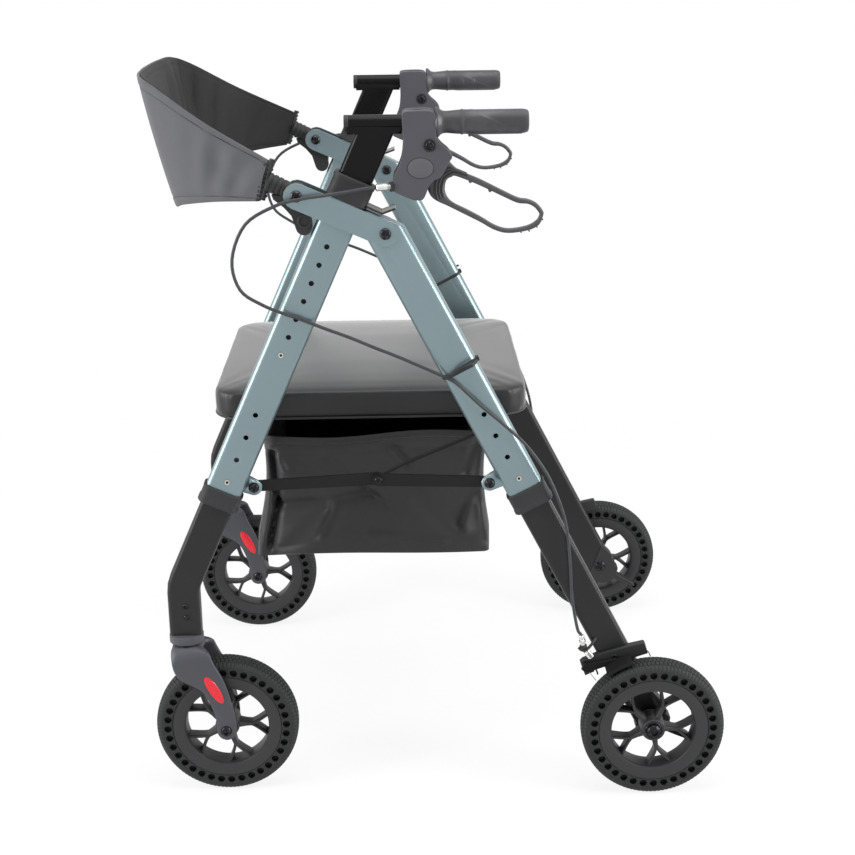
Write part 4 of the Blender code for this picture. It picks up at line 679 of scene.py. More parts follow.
LEG_HALF_X = 0.0113
LEG_HALF_Y = 0.0223
LEG_CORNER = 0.006
STEM_Y = -0.349
LEG_CAP = mm((227.6, -3), (227.8, -0.8), (228.6, 0), (238.2, 0), (239, -0.8), (239.4, -3))
LEG_CAP_HALF = (0.0214, 0.0236)
LEG_SCREWS = mm((-346.5, 283.2), (-346.1, 266.5))
DARK_ANODISED = anodised("dark_anodised_tube", (0.012, 0.013, 0.012), (0.019, 0.020, 0.019), 0.32, 0.15, 0.3)
for word in SIDES:
    even_copy(f"front_leg_{word}", DARK_ANODISED, f"front_leg_{word}")
    cap = Part(tube_rings(*LEG_CAP.T, *LEG_CAP_HALF, LEG_CAP_HALF[0] - 0.0006) + (0, STEM_Y, 0))
    side_piece("front_leg_cap", word, [cap], CHARCOAL, "front_leg")
    screws = [bolt_head((LEG_HALF_X - 0.0002, *place), OUTWARD, 0.0040, 0.0022) for place in LEG_SCREWS]
    side_piece("front_leg_screws", word, screws, BLACK_STEEL, "front_leg")

SLAB_MARGIN = 0.0002


def slab(outline, x_low, x_high, rounding=0.0015, steps=4):
    """A lattice: a closed (y, z) outline carried along X, with its edges rounded.

    Ring u is the outline moved inwards by rounding * (1 - cos a) at a distance rounding * (1 - sin a) from
    each face, as the angle a goes from 0 to a quarter turn and back. A level margin keeps the faces flat.
    """
    outline = np.asarray(outline, float)
    ahead = unit(np.roll(outline, -1, 0) - np.roll(outline, 1, 0))
    inward = np.column_stack((-ahead[:, 1], ahead[:, 0]))
    after = np.roll(outline, -1, 0)
    area = np.sum(outline[:, 0] * after[:, 1] - after[:, 0] * outline[:, 1])
    quarter = np.linspace(0, pi / 2, steps)
    drawn = np.concatenate(([rounding + SLAB_MARGIN], rounding * (1 - np.sin(quarter))))
    depth = np.concatenate(([0.0], rounding * (1 - np.cos(quarter))))
    insets = np.concatenate((drawn, drawn[::-1]))
    xs = np.concatenate((x_low + depth, x_high - depth[::-1]))
    points = outline + inward * np.sign(area) * insets[:, None, None]
    across = np.broadcast_to(xs[:, None, None], points.shape[:2] + (1,))
    return Part(np.concatenate((across, points), axis=2))


def coil(start, end, radius, turns, wire):
    """A spring: a wire swept along a helix from one point to another."""
    start, end = np.asarray(start, float), np.asarray(end, float)
    axis = unit(end - start)
    first = unit(np.cross(axis, OUTWARD))
    second = np.cross(axis, first)
    along = np.linspace(0, 1, turns * 12 + 1)[:, None]
    angle = along * turns * 2 * pi
    path = start + (end - start) * along + radius * (first * np.cos(angle) + second * np.sin(angle))
    return sweep(path, axis, wire, wire, steps=8)


BRAKE_BAR = mm((205.7, 167.6), (198.4, 187.9), (202.1, 191.8), (223.3, 200.8), (264.7, 212.1),
               (286.5, 216.8), (288.6, 215.1), (292.9, 199.7), (273.2, 193.2), (231.2, 181.1),
               (218.9, 177.8), (218.5, 173.2))
BRAKE_BAR_X = (0.0060, 0.0165)
BRAKE_SCREW = (0.2457, 0.1963)
BRAKE_GUARD = mm((16, 290.5, 205), (17.2, 293, 203), (17.5, 295, 199), (17.5, 296.2, 196))
FERRULE = mm((24, 198, 233.8), (24, 200.8, 219))
ADJUSTER_ARM = mm((24.5, 195, 215), (24.5, 199, 211.2), (23.5, 205, 210.5), (18.5, 213, 216),
                  (11, 220, 223))
ADJUSTER_SPRING = mm((23.5, 205, 210), (19, 212.5, 198.5))
RETURN_HOOK = mm((15, 220, 180), (17.5, 220.7, 176.9), (17.5, 222.5, 173), (17.5, 222.9, 169.8))
RETURN_SPRING = mm((12, 211, 176), (16, 212.2, 172.3), (17, 216.5, 166), (17.5, 221, 160.4))
FOOT_PLATE = mm((299, 135.7), (309, 129), (318, 119), (317, 112), (323.5, 108), (322.5, 101), (329, 96),
                (327.6, 88), (326.2, 79), (317, 71.5), (305, 67.4), (293, 69), (283, 76), (280, 85),
                (288, 105))
FOOT_LEVER = mm((296.1, 102.6), (308, 86), (322.7, 74.1), (342, 65), (356, 59), (359.3, 60.5),
                (356.3, 65.3), (342, 73.5), (324.2, 86.1), (313, 101), (305, 108))
REAR_AXLE = (0, 0.298, 0.1)
REAR_LEG_RUN = mm((-345, 0), (-800.15, 0), (-802.15, -2))
AXLE_SPACER = mm((9.3, 10.5), (19, 10.5), (19.6, 9))
AXLE_WASHER = mm((53.5, 11.4), (54.3, 12.2), (55.2, 12.2), (55.6, 11.8))
FERRULE_PROFILE = mm((0, 3), (1, 3.8), (5.5, 3.8), (6.5, 3), (7.5, 4.6), (11, 4.6), (11.8, 3.4), (18, 3.4))
GROMMET_PROFILE = mm((0, 4), (0.8, 5.2), (4, 5.2), (4.8, 4))
WIRE_ASIDE = (0.5, 0.3, 0.8)
ZINC = coating("bright_zinc", "zinc", (0.5, 0.5, 0.49), (0.78, 0.78, 0.76), (380, 3.0), (0.22, 0.2),
               metallic=1.0)
for word in SIDES:
    tube = Part(tube_rings(*REAR_LEG_RUN.T, LEG_HALF_X, LEG_HALF_Y, LEG_CORNER))
    leg = side_piece("rear_leg_tube", word, [tube], DARK_ANODISED, "rear_leg", REAR_TUBE)
    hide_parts(f"rear_leg_{word}")
    washers = [lathe(REAR_AXLE, OUTWARD, AXLE_SPACER), lathe(REAR_AXLE, OUTWARD, AXLE_WASHER, 40)]
    side_piece("rear_axle_washers", word, washers, BLACK_STEEL, "rear_leg")
    bolts = [bolt_head((0.0554, *REAR_AXLE[1:]), OUTWARD, 0.0105, 0.0062),
             bolt_head((-LEG_HALF_X + 0.0004, *REAR_AXLE[1:]), (-1, 0, 0), 0.0095, 0.0050),
             bolt_head((BRAKE_BAR_X[1] - 0.0002, *BRAKE_SCREW), OUTWARD, 0.0042, 0.0020)]
    side_piece("rear_axle_bolts", word, bolts, BLACK_STEEL, "rear_leg")
    wires = [sweep(smooth(route, 4), WIRE_ASIDE, radius, radius, steps=8)
             for route, radius in ((BRAKE_GUARD, 0.0007), (RETURN_HOOK, 0.0012), (ADJUSTER_ARM, 0.0021))]
    bar = [slab(BRAKE_BAR, *BRAKE_BAR_X, 0.0016), *wires,
           slab(smooth(FOOT_PLATE, 2, True), -0.0132, 0.0100, 0.0010),
           slab(smooth(FOOT_LEVER, 3, True), -0.0100, 0.0090, 0.0018)]
    side_piece("rear_brake_bar", word, bar, BLACK_NYLON, "rear_leg")
    silver = [lathe(FERRULE[0], FERRULE[1] - FERRULE[0], FERRULE_PROFILE, 20),
              coil(*ADJUSTER_SPRING, 0.0040, 6, 0.0007),
              sweep(smooth(RETURN_SPRING, 4), WIRE_ASIDE, 0.0006, 0.0006, steps=8)]
    side_piece("rear_brake_spring", word, silver, ZINC, "rear_leg")
    grommet = lathe(FERRULE[1], FERRULE[1] - FERRULE[0], GROMMET_PROFILE, 24)
    side_piece("rear_brake_grommet", word, [grommet], BLACK_NYLON, "rear_leg")


# Casters: a moulded charcoal fork whose round crown closes over the stem and runs down two arms, with a red
# oval reflector glued on each arm and a bolt through the wheel.
FORK_STATIONS = mm(  # outward, rearward, up, half width fore and aft, half thickness
    (26, -297.5, 85.7, 3.5, 2.6), (26, -297.5, 88, 8.5, 3.3), (26, -297.5, 93, 12.3, 3.6),
    (26.2, -297.5, 100, 13.9, 3.7), (26.2, -297.8, 112, 14, 3.7), (26.3, -299, 123.7, 13.6, 3.7),
    (26.3, -304.5, 145.7, 14.8, 3.7), (26.4, -311.2, 164, 16.5, 3.8), (26.5, -319, 177, 19.6, 4),
    (26.8, -328.7, 188, 24, 4.4), (26.6, -338, 199, 28, 5.2), (24.4, -343.2, 209.5, 26.4, 7.4),
    (17.6, -347, 216.6, 23.2, 9), (8.8, -348, 218.4, 21.2, 9.2))
REFLECTOR_MIDDLE = np.array((0.0293, -0.3120, 0.1645))
REFLECTOR_TIP = np.array((0.0, -0.0113, 0.0206))
REFLECTOR_HALF_WIDTH = 0.0071


def both_halves(half):
    """A table that ends in the middle plane, and on from there its mirror image in X."""
    mirror = np.ones(half.shape[1])
    mirror[0] = -1
    return np.vstack((half, half[::-1] * mirror))


def oval(middle, tip, half_width, out, heights, shares):
    """A lattice: ellipses that shrink by shares as they rise. Tip is the vector to the ellipse's far end."""
    tip = np.asarray(tip, float)
    wide = np.cross(out, tip) / np.linalg.norm(tip) * half_width
    angle = np.linspace(0, 2 * pi, 40, endpoint=False)[:, None]
    ring = tip * np.cos(angle) + wide * np.sin(angle)
    rise = np.asarray(heights, float)[:, None, None] * np.asarray(out, float)
    return Part(np.asarray(middle, float) + rise + ring * np.asarray(shares, float)[:, None, None])


def reflector_red():
    """Red acrylic: glossy, with the prisms under it seen as a fine grid of bumps."""
    finish = Finish("red_reflector", "charcoal_plastic", specular_ior_level=0.3, coat_roughness=0.05)
    prisms = finish.add("TexVoronoi", inputs={"Vector": finish.place, "Scale": 900.0})
    colour = finish.tint(prisms, (0.56, 0.006, 0.014), (0.74, 0.016, 0.030))
    finish.shade(base_color=colour, roughness=0.22 + 0.1 * prisms, coat_weight=0.35,
                 normal=finish.relief(prisms, 0.00006, 0.5))
    return finish


REFLECTOR = reflector_red()
OVAL_RISES = (0.0, 0.0012, 0.0018, 0.0021, 0.0023)
OVAL_SHARES = (1.0, 1.0, 0.93, 0.7, 0.1)
CASTER_STEM = mm((218, 17), (230, 17), (233, 16))
CASTER_AXLE = (-0.298, 0.1)
FORK_NYLON = moulded_plastic("fork_nylon", "charcoal_plastic", (0.040, 0.041, 0.050), (0.056, 0.057, 0.068),
                             roughness=0.4, level=0.45)
for word in SIDES:
    whole = both_halves(smooth(FORK_STATIONS, 3))
    body = sweep(whole[:, :3], (0, 1.0, 0), whole[:, 3], whole[:, 4], squareness=2.7, steps=36)
    fork = side_piece("caster_fork_body", word, [body], FORK_NYLON, "caster_fork", sharp=50)
    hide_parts(f"caster_fork_{word}")
    bolts = [bolt_head((face * 0.0291, *CASTER_AXLE), (face, 0, 0), 0.0078, 0.0048) for face in BOTH_FACES]
    stem = lathe((0, STEM_Y, 0), UPWARD, CASTER_STEM)
    side_piece("caster_bolts", word, [stem, *bolts], BLACK_STEEL, "caster_fork")
    ovals = [oval(REFLECTOR_MIDDLE * (face, 1, 1), REFLECTOR_TIP, REFLECTOR_HALF_WIDTH, (face, 0, 0),
                  OVAL_RISES, OVAL_SHARES) for face in BOTH_FACES]
    side_piece("caster_reflectors", word, ovals, REFLECTOR, "caster_fork")


# Wheels: solid rubber tyres with a row of round holes in each side wall, which make them springy, and a fine
# block tread. The rims are moulded with five forked spokes.
def turned(middle, x, radius, angle):
    """Points (x, radius, angle) round a wheel's axle."""
    x, radius, angle = np.broadcast_arrays(x, radius, angle)
    return np.stack((x, radius * np.cos(angle), radius * np.sin(angle)), axis=-1) + middle


TYRE_HOLES = 36
HOLE_COLUMNS = 12
HOLE_SIDE_STEPS = 4
HOLE_RADIUS = 0.0052
HOLE_DEPTH = 0.009
HOLE_BAND = (0.0775, 0.0891)
TYRE_TURN = radians(-3.5)
TYRE_HALF = 0.018
TREAD_BLOCK_COLUMNS = 4
TREAD_DEPTH = 0.0014
TREAD_HALF = [  # from the side wall to the tread's middle: x, radius, share of the tread's depth, block row
    (0.0180, 0.0891, 0.0, 0), (0.0180, 0.0900, 0.0, 0), (0.0179, 0.0912, 0.0, 0), (0.0177, 0.0917, 1.0, 1),
    (0.0168, 0.0945, 1.0, 1), (0.0152, 0.0969, 1.0, 1), (0.0132, 0.0984, 1.0, 1), (0.0128, 0.0974, 0.0, 0),
    (0.0118, 0.0977, 0.0, 0), (0.0114, 0.0991, 1.0, 2), (0.0080, 0.0997, 1.0, 2), (0.0046, 0.0999, 1.0, 2),
    (0.0042, 0.0987, 0.0, 0), (0.0036, 0.0987, 0.0, 0), (0.0032, 0.1000, 1.0, 3), (0.0010, 0.1000, 1.0, 3),
]
BEAD_HALF = mm((18, 77.5), (17.8, 77), (17.3, 76.7), (15, 76.5))


def tyre_parts(middle, turn):
    """A tyre in lattices that share their edges: the tread, the bead and a panel round each hole.

    The tread's radius is the profile's, less the tread's depth in one column of every block. A panel goes
    from its perimeter in to a circle, and down the hole to a point.
    """
    columns = TYRE_HOLES * HOLE_COLUMNS
    column = np.arange(columns)
    angle = turn + column * 2 * pi / columns
    x, radius, share, block = both_halves(np.array(TREAD_HALF)).T[..., None]
    groove = (column + 2 * (block % 2)) % TREAD_BLOCK_COLUMNS == 0
    tread = turned(middle, x, radius - TREAD_DEPTH * share * groove, angle)
    bead = both_halves(BEAD_HALF)
    parts = [Part(tread, capped=False), Part(turned(middle, bead[:, :1], bead[:, 1:], angle), capped=False)]

    low, high = HOLE_BAND
    side_share = np.arange(HOLE_SIDE_STEPS) / HOLE_SIDE_STEPS
    column_share = np.arange(HOLE_COLUMNS) / HOLE_COLUMNS
    full, none = np.ones(HOLE_SIDE_STEPS), np.zeros(HOLE_SIDE_STEPS)
    round_share = np.concatenate((column_share, full, 1 - column_share, none))
    out_share = np.concatenate((0 * column_share, side_share, 0 * column_share + 1, 1 - side_share))
    pitch = 2 * pi / TYRE_HOLES
    centre = (low + high) / 2
    bearing = np.arctan2((out_share - 0.5) * (high - low), (round_share - 0.5) * pitch * centre)
    rings = [(HOLE_RADIUS + 0.0005, 0.0), (HOLE_RADIUS, 0.0006), (HOLE_RADIUS - 0.0004, HOLE_DEPTH),
             (0.0, HOLE_DEPTH)]
    for hole in range(TYRE_HOLES):
        start = turn + hole * pitch
        for face in BOTH_FACES:
            edge = low + out_share * (high - low)
            rows = [turned(middle, face * TYRE_HALF, edge, start + round_share * pitch)]
            rows += [turned(middle, face * (TYRE_HALF - deep), centre + reach * np.sin(bearing),
                            start + pitch / 2 + reach * np.cos(bearing) / centre) for reach, deep in rings]
            parts.append(Part(np.stack(rows), capped=False))
    return parts


HUB_PROFILE = mm((-16.9, 9), (-16.9, 15), (-16, 16.2), (-12, 17.2), (12, 17.2), (16, 16.2), (16.9, 15),
                 (16.9, 9))
RING_HALF = mm((14, 76.5), (16.6, 76.5), (17.3, 75.9), (17.5, 74), (17.2, 68), (16.8, 62), (16, 59.6),
               (14.6, 58.6), (12, 58), (4, 57.6))
SPOKES = 5
SPOKE_STEM = mm(12, 18, 26, 34.5)
SPOKE_HALF = mm((12.5, 6), (11, 4.6), (9.2, 3.6), (8, 3.3))
SPOKE_ARM = [(0.0290, 0.3), (0.0350, 1.8), (0.0430, 7.0), (0.0510, 11.8), (0.0595, 15.8)]  # radius, degrees


def rim_parts(middle, turn):
    """A ring and a hub turned about the axle, and spokes swept outwards, each split into two arms."""
    ring = both_halves(RING_HALF)
    angle = np.linspace(0, 2 * pi, 120, endpoint=False)
    parts = [Part(turned(middle, ring[:, :1], ring[:, 1:], angle), looped=True)]
    parts.append(lathe(middle, OUTWARD, HUB_PROFILE, 48))
    arm = smooth(SPOKE_ARM, 2)
    for spoke in range(SPOKES):
        bearing = turn + 2 * pi * spoke / SPOKES
        stem = turned(middle, 0.0, SPOKE_STEM, bearing)
        parts.append(sweep(stem, OUTWARD, *SPOKE_HALF.T, squareness=4, steps=20))
        for way in (-1, 1):
            path = turned(middle, 0.0, arm[:, 0], bearing + way * np.radians(arm[:, 1]))
            wide = np.linspace(0.0084, 0.0105, len(path))
            parts.append(sweep(path, OUTWARD, wide, 0.0022, squareness=4, steps=20))
    return parts


WELDED_SHARP = radians(35)


def weld(made, sharp=WELDED_SHARP):
    """Merges the points that lattices share and turns the closed surface outwards."""
    merge(made.data, outward=True)
    made.data.set_sharp_from_angle(angle=sharp)


def tyre_rubber():
    """Moulded rubber: matt, with a bloom that greys it and dust in the tread."""
    finish = Finish("tyre_rubber", "black_tyre", specular_ior_level=0.35)
    bloom = finish.noise(24, 4.0)
    grit = finish.noise(1500, 2.0)
    colour = finish.tint(0.7 * bloom + 0.3 * grit, (0.0095, 0.0103, 0.0103), (0.021, 0.0218, 0.0226))
    finish.shade(base_color=colour, roughness=0.55 + 0.2 * bloom, normal=finish.relief(grit, 0.00008))
    return finish


TYRE_RUBBER = tyre_rubber()
RIM_PLASTIC = moulded_plastic("rim_plastic", "charcoal_plastic", (0.017, 0.017, 0.019),
                              (0.026, 0.026, 0.028), roughness=0.4, level=0.4)
WHEEL_TURNS = {"front": radians(70), "rear": radians(65)}
for word in SIDES:
    for end, turn in WHEEL_TURNS.items():
        middle = np.mean(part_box(f"{end}_tyre_{word}"), axis=0)
        wheel = f"{end}_wheel_{word}"
        tyre = piece(f"{end}_tyre_moulding_{word}", tyre_parts(middle, TYRE_TURN), TYRE_RUBBER, wheel)
        weld(tyre)
        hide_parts(f"{end}_tyre_{word}")
        rim = piece(f"{end}_rim_moulding_{word}", rim_parts(middle, turn), RIM_PLASTIC, wheel)
        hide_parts(f"{end}_rim_{word}")


# Handles: gloss black uprights with a bar welded across the top, a plug in the bar's open end and a moulded
# rubber grip pushed over the other.
HANDLE_Z = 0.9352
GRIP_START = 0.0040
GRIP_PROFILE = mm((0, 11.8), (0, 18.2), (1.5, 19.4), (4, 18.8), (6.5, 16), (9.5, 14.2), (14, 13.7),
                  (20, 14.2), (27, 14.9), (31.8, 15.1), (32.5, 15.8), (34.5, 16), (35.5, 15.3), (42, 15.2),
                  (56, 15.2), (70, 15.2), (84, 15.2), (98, 15.2), (109, 15.2), (113, 14.9), (116.5, 13.8),
                  (118, 11.8), (118, 3))
GRIP_NOTCHES = (0.0540, 0.0580, 0.0720, 0.0760)


def ramp(value):
    """A value held between 0 and 1."""
    return np.clip(value, 0, 1)


def bell(off, width):
    """1 where nothing is off, falling to 0 over a few widths on both sides."""
    return np.exp(-(off / width) ** 2)


def grip_parts():
    """The turned grip. A palm rest stands proud behind an edge that runs slantwise along the grip."""
    heights, radii = GRIP_PROFILE.T
    fine = np.unique(np.concatenate((heights[1:], np.arange(0.0400, 0.1120, 0.0012))))
    steps = 72
    angle = np.linspace(0, 2 * pi, steps, endpoint=False)
    radius = np.interp(fine, heights[1:-1], radii[1:-1])
    slant = np.interp(fine, (0.040, 0.110), (-1.2, 0.9))[:, None]
    rest = 1 / (1 + np.exp(-(np.sin(angle)[None] - slant) * 90))
    ends = ramp((fine - 0.042) / 0.01) * ramp((0.112 - fine) / 0.004)
    rest = rest * ends[:, None]
    notch = bell(fine[:, None] - np.array(GRIP_NOTCHES), 0.0008).sum(1)[:, None]
    notch = notch * bell(angle - pi, 0.35)[None]
    wave = 1 + 0.055 * rest + 0.045 * notch
    foot = (0, GRIP_START, HANDLE_Z)
    barrel = lathe(foot, REARWARD, np.column_stack((fine, radius)), steps, wave)
    start, close = (lathe(foot, REARWARD, GRIP_PROFILE[rows], steps) for rows in (slice(2), slice(-2, None)))
    return Part(np.concatenate((start.points, barrel.points[1:-1], close.points)))


REARWARD = (0.0, 1.0, 0.0)
BAR_FRONT = -0.1090
BAR_PLUG = mm((-4, 10.6), (0, 10.6), (1.2, 10.6), (2, 9.8), (2.2, 4))
GLOSS_BLACK = coating("gloss_black_coat", "black_anodised", (0.002, 0.002, 0.002), (0.0045, 0.0045, 0.0045),
                      (11, 2.0), (0.2, 0.12), (520, 2.0, 0.00004), specular_ior_level=0.15)
GRIP_RUBBER = coating("grip_rubber", "black_rubber", (0.032, 0.032, 0.037), (0.048, 0.048, 0.054),
                      (30, 3.0, 0.4, 0.65), (0.5, -0.16), (1300, 3.0, 0.00007), specular_ior_level=0.45)
for word in SIDES:
    even_copy(f"handle_{word}", GLOSS_BLACK, f"handle_{word}")
    plug = lathe((0, BAR_FRONT, HANDLE_Z), (0, -1.0, 0), BAR_PLUG)
    side_piece("handle_bar_plug", word, [plug], BLACK_NYLON, "handle")
    grip = side_piece("grip_moulding", word, [grip_parts()], GRIP_RUBBER, "handle")
    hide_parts(f"grip_{word}")


# Brake housings: two moulded halves clamped round the handle's bar, with the lever between them, a bare
# oval boss on each face, the lever's bolt and a threaded cable adjuster. A black ring round each boss is
# painted shade in the groove there.
LEVER_PIN = (-0.0034, 0.9086)
HOUSING_OUTLINE = mm((-37.8, 943), (-35, 950.2), (-18, 951.5), (-1, 950.8), (4.4, 945), (5, 933),
                     (4.8, 922.1), (7.5, 914.4), (12.9, 907.8), (20.1, 901.7), (25, 893.8), (21.1, 887.3),
                     (16.2, 877.8), (10.1, 868.2), (1, 863.5), (-5.1, 856.4), (-8.9, 846.7), (-13, 840.2),
                     (-19, 839.1), (-26.5, 840.3), (-34.9, 844.1), (-43.4, 847.9), (-49.5, 851.4),
                     (-50.8, 857.5), (-49, 870.4), (-44.6, 878.7), (-38.9, 893), (-36.9, 909.7), (-37, 923))
HOUSING_CORE = mm((-37, 948), (-20, 950), (2, 949), (3.5, 933), (3, 922.5), (-12, 921.5), (-19, 910),
                  (-24, 890), (-30, 862), (-40, 853), (-48, 860), (-46, 870.6), (-38, 888.1), (-35, 905.6),
                  (-36.4, 923))
HOUSING_HALF = 0.018
LEVER_SLOT = 0.0076
BOSS_MIDDLE = (-0.0154, 0.8801)
BOSS_NYLON = moulded_plastic("boss_nylon", "charcoal_plastic", (0.078, 0.078, 0.088), (0.098, 0.098, 0.110))
BOSS_HALF = (0.0171, 0.0133)
OVALS = {  # finish, growth of the boss's outline, then heights and the shares of the outline at them
    # The groove oval is black moulding showing as a ring round the boss: painted shade in the groove.
    "groove": (BLACK_NYLON, 1.0, (0.0, 0.0007, 0.0008, 0.0008), (1.0, 1.0, 0.985, 0.1)),
    "boss": (BOSS_NYLON, 0.94, (0.0, 0.0010, 0.0016, 0.0019, 0.0020), (1.0, 1.0, 0.93, 0.5, 0.02)),
}
BOLT_COLLAR = mm((0, 8.6), (1.3, 8.6), (1.8, 7.8), (1.4, 6))
ADJUSTER = (np.array((0.0125, -0.0440, 0.8571)), np.array((0.3090, -0.9511, 0.0)))
ADJUSTER_NUT = mm((6, 4.8), (6.6, 6), (10.6, 6), (11.2, 4.8))
ADJUSTER_SLEEVE = mm((15, 3.6), (15.6, 4.6), (28.6, 4.6), (29.6, 3.4))
THREAD_RUN = np.arange(0.0, 0.0300, 0.0004)
THREAD_PROFILE = np.column_stack((THREAD_RUN, 0.0036 + 0.00035 * np.sin(THREAD_RUN / 0.0012 * 2 * pi)))
KNURL = 1 + 0.07 * np.cos(np.linspace(0, 2 * pi, 72, endpoint=False) * 18)
for word in SIDES:
    cheeks = [slab(smooth(HOUSING_OUTLINE, 3, True), *ends, 0.0011)
              for ends in ((LEVER_SLOT, HOUSING_HALF), (-HOUSING_HALF, -LEVER_SLOT))]
    core = slab(smooth(HOUSING_CORE, 3, True), -LEVER_SLOT - 0.001, LEVER_SLOT + 0.001, 0.0005)
    housing = side_piece("brake_housing_shell", word, [*cheeks, core], CHARCOAL, "handle", sharp=50)
    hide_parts(f"brake_housing_{word}")
    for name, (finish, grow, heights, shares) in OVALS.items():
        ovals = [oval((face * (HOUSING_HALF - 0.0006), *BOSS_MIDDLE), (0, BOSS_HALF[0] * grow, 0),
                      BOSS_HALF[1] * grow, (face, 0, 0), heights, shares) for face in BOTH_FACES]
        side_piece(f"housing_{name}", word, ovals, finish, "handle")
    pins = [bolt_head((face * (HOUSING_HALF + 0.0002), *LEVER_PIN), (face, 0, 0), 0.0058, 0.0034)
            for face in BOTH_FACES]
    collars = [lathe((face * (HOUSING_HALF - 0.001), *LEVER_PIN), (face, 0, 0), BOLT_COLLAR, 40)
               for face in BOTH_FACES]
    side_piece("lever_bolt", word, pins, BLACK_STEEL, "handle")
    nut = lathe(*ADJUSTER, ADJUSTER_NUT, 72, KNURL)
    side_piece("adjuster_nut", word, [nut, *collars], BLACK_NYLON, "handle")
    threads = [lathe(*ADJUSTER, profile, 24) for profile in (THREAD_PROFILE, ADJUSTER_SLEEVE)]
    side_piece("cable_adjuster", word, threads, ZINC, "handle")


# Brake levers: a looped band of charcoal nylon, wider at its root, which turns on the bolt between the
# housing's halves. Short ribs stiffen the root and two small stops stand under the upper run. Thin black
# strips beside the ribs are painted shade in the troughs between them.
LEVER_RUN = mm(  # outer edge rearward and up, inner edge rearward and up
    (33.8, 874.8, 30, 867.2), (60.5, 862.8, 56, 856.8), (87.3, 849, 84.5, 843), (109, 838.5, 107.5, 832.2),
    (121.3, 836.3, 121, 830.5), (133, 830.8, 129.6, 826.2), (141.2, 821.2, 135.6, 819),
    (141.3, 814.9, 136.6, 815), (136, 803.2, 132.5, 808), (121.6, 796.2, 120, 801.5),
    (96.4, 793.3, 97, 798.4), (78.4, 797.8, 80, 803.2), (60.4, 808.1, 62.6, 813.8),
    (42.5, 817.4, 45, 823.5), (21, 828.5, 26.2, 833.2), (-0.3, 839.7, 19, 840.5), (-8, 856, 16, 848),
    (-10, 876, 15.8, 853.2), (-12, 904, 16.5, 858), (-3.4, 917, 18, 861.8), (7, 906, 20.8, 864.5),
    (20, 888, 24.5, 866.2))
LEVER_HALF = 0.0069
LEVER_RIBS = (0.0035, 0.0075, 0.0115)
LEVER_SHADE_STRIP_OFFSET = 0.0020
LEVER_STOPS = mm((48, 860.3), (73, 848.4))
STOP_PROFILE = mm((-5.8, 1.2), (-5.2, 2), (5.2, 2), (5.8, 1.2))
TOOTH_PROFILE = mm((-5.6, 0.5), (-5.2, 0.9), (5.2, 0.9), (5.6, 0.5))
BAND_TURNS = (0, 1, 13, 15, 22)
BAND_HALVES = (0.0069, 0.0073, 0.0073, 0.0069, 0.0069)
LEVER_TEETH = mm((140.5, 810), (133.5, 800.5), (123.5, 795.5), (113, 794))


def lever_parts():
    """The band: superellipses whose height spans the outer and the inner edge, all the way round."""
    run = smooth(LEVER_RUN, 4, True)
    outer, inner = run[:, :2], run[:, 2:]
    angle = np.linspace(0, 2 * pi, 20, endpoint=False)
    c, s = (bend(wave, 0.55) for wave in (np.cos(angle), np.sin(angle)))
    points = (outer + inner)[:, None] / 2 + (outer - inner)[:, None] / 2 * s[:, None]
    half = np.interp(np.linspace(0, 22, len(run)), BAND_TURNS, BAND_HALVES)
    across = half[:, None] * c
    parts = [Part(np.concatenate((across[..., None], points), axis=2), looped=True)]
    near_root = np.vstack((run[61::2], run[:3:2]))
    root, rim = near_root[:, 2:], near_root[:, :2]
    ahead = np.gradient(root, axis=0)
    away = unit(np.column_stack((ahead[:, 1], -ahead[:, 0])))
    away *= np.sign(np.sum(away * (rim - root), axis=1, keepdims=True))
    room = 0.85 * np.linalg.norm(rim - root, axis=1, keepdims=True)
    # Thin black strips beside each rib: painted shade in the troughs, not a part of the moulding.
    shade_strips = []
    for share in LEVER_RIBS:
        for face in BOTH_FACES:
            for group, reach, wide, high in ((parts, share, 0.0008, 0.0009),
                                             (shade_strips, share + LEVER_SHADE_STRIP_OFFSET, 0.0004, 0.0014)):
                line = root + away * np.minimum(reach, room)
                path = np.column_stack((np.full(len(root), face * LEVER_HALF), line))
                group.append(sweep(path, OUTWARD, wide, high, steps=10))
    parts += [lathe((0, *stop), OUTWARD, STOP_PROFILE, 16) for stop in LEVER_STOPS]
    parts += [lathe((0, *tooth), OUTWARD, TOOTH_PROFILE, 12) for tooth in LEVER_TEETH]
    return parts, shade_strips


LEVER_NYLON = moulded_plastic("lever_nylon", "charcoal_plastic", (0.040, 0.040, 0.043),
                              (0.062, 0.062, 0.066), roughness=0.36, level=0.45)
for word in SIDES:
    band, shade_strips = lever_parts()
    lever = side_piece("brake_lever_band", word, band, LEVER_NYLON, "brake_lever", sharp=50)
    # The strips beside the ribs are black moulding: painted shade in the troughs.
    side_piece("brake_lever_shade_strips", word, shade_strips, BLACK_NYLON, "brake_lever")
    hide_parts(f"brake_lever_{word}")


# Brake shoes, struts, cross bars and snap pins: the shoe is a moulded pad on an arm; the struts and bars are
# black steel, with a bolt where a strut's links meet; the pins are sprung brass behind the tubes' holes.
STRUT_MIDDLE = (-0.0778, 0.4596)
STRUT_WASHER = mm((0, 6.2), (0.6, 6.2), (0.9, 5.8))
BUTTONS = {"front_leg_button": (FRONT_TUBE, 0.0190), "handle_button": (FRONT_TUBE, 0.2106),
           "rear_leg_button": (REAR_TUBE, -0.3768)}
BUTTON_FACE = 0.0154
BUTTON_DIMPLE = mm((0, 2), (0.2, 2), (0.3, 1.8))
SHOE_ARM = mm((199.5, 180), (203, 189), (235, 193), (248, 196), (247, 190), (230, 183), (206, 175))
SHOE_ARM_X = (0.0172, 0.0232)
PAD_X = (0.0215, 0.0500)
PAD_RADII = (0.1032, 0.1075)
PAD_ANGLES = np.radians(np.linspace(128, 107, 10))
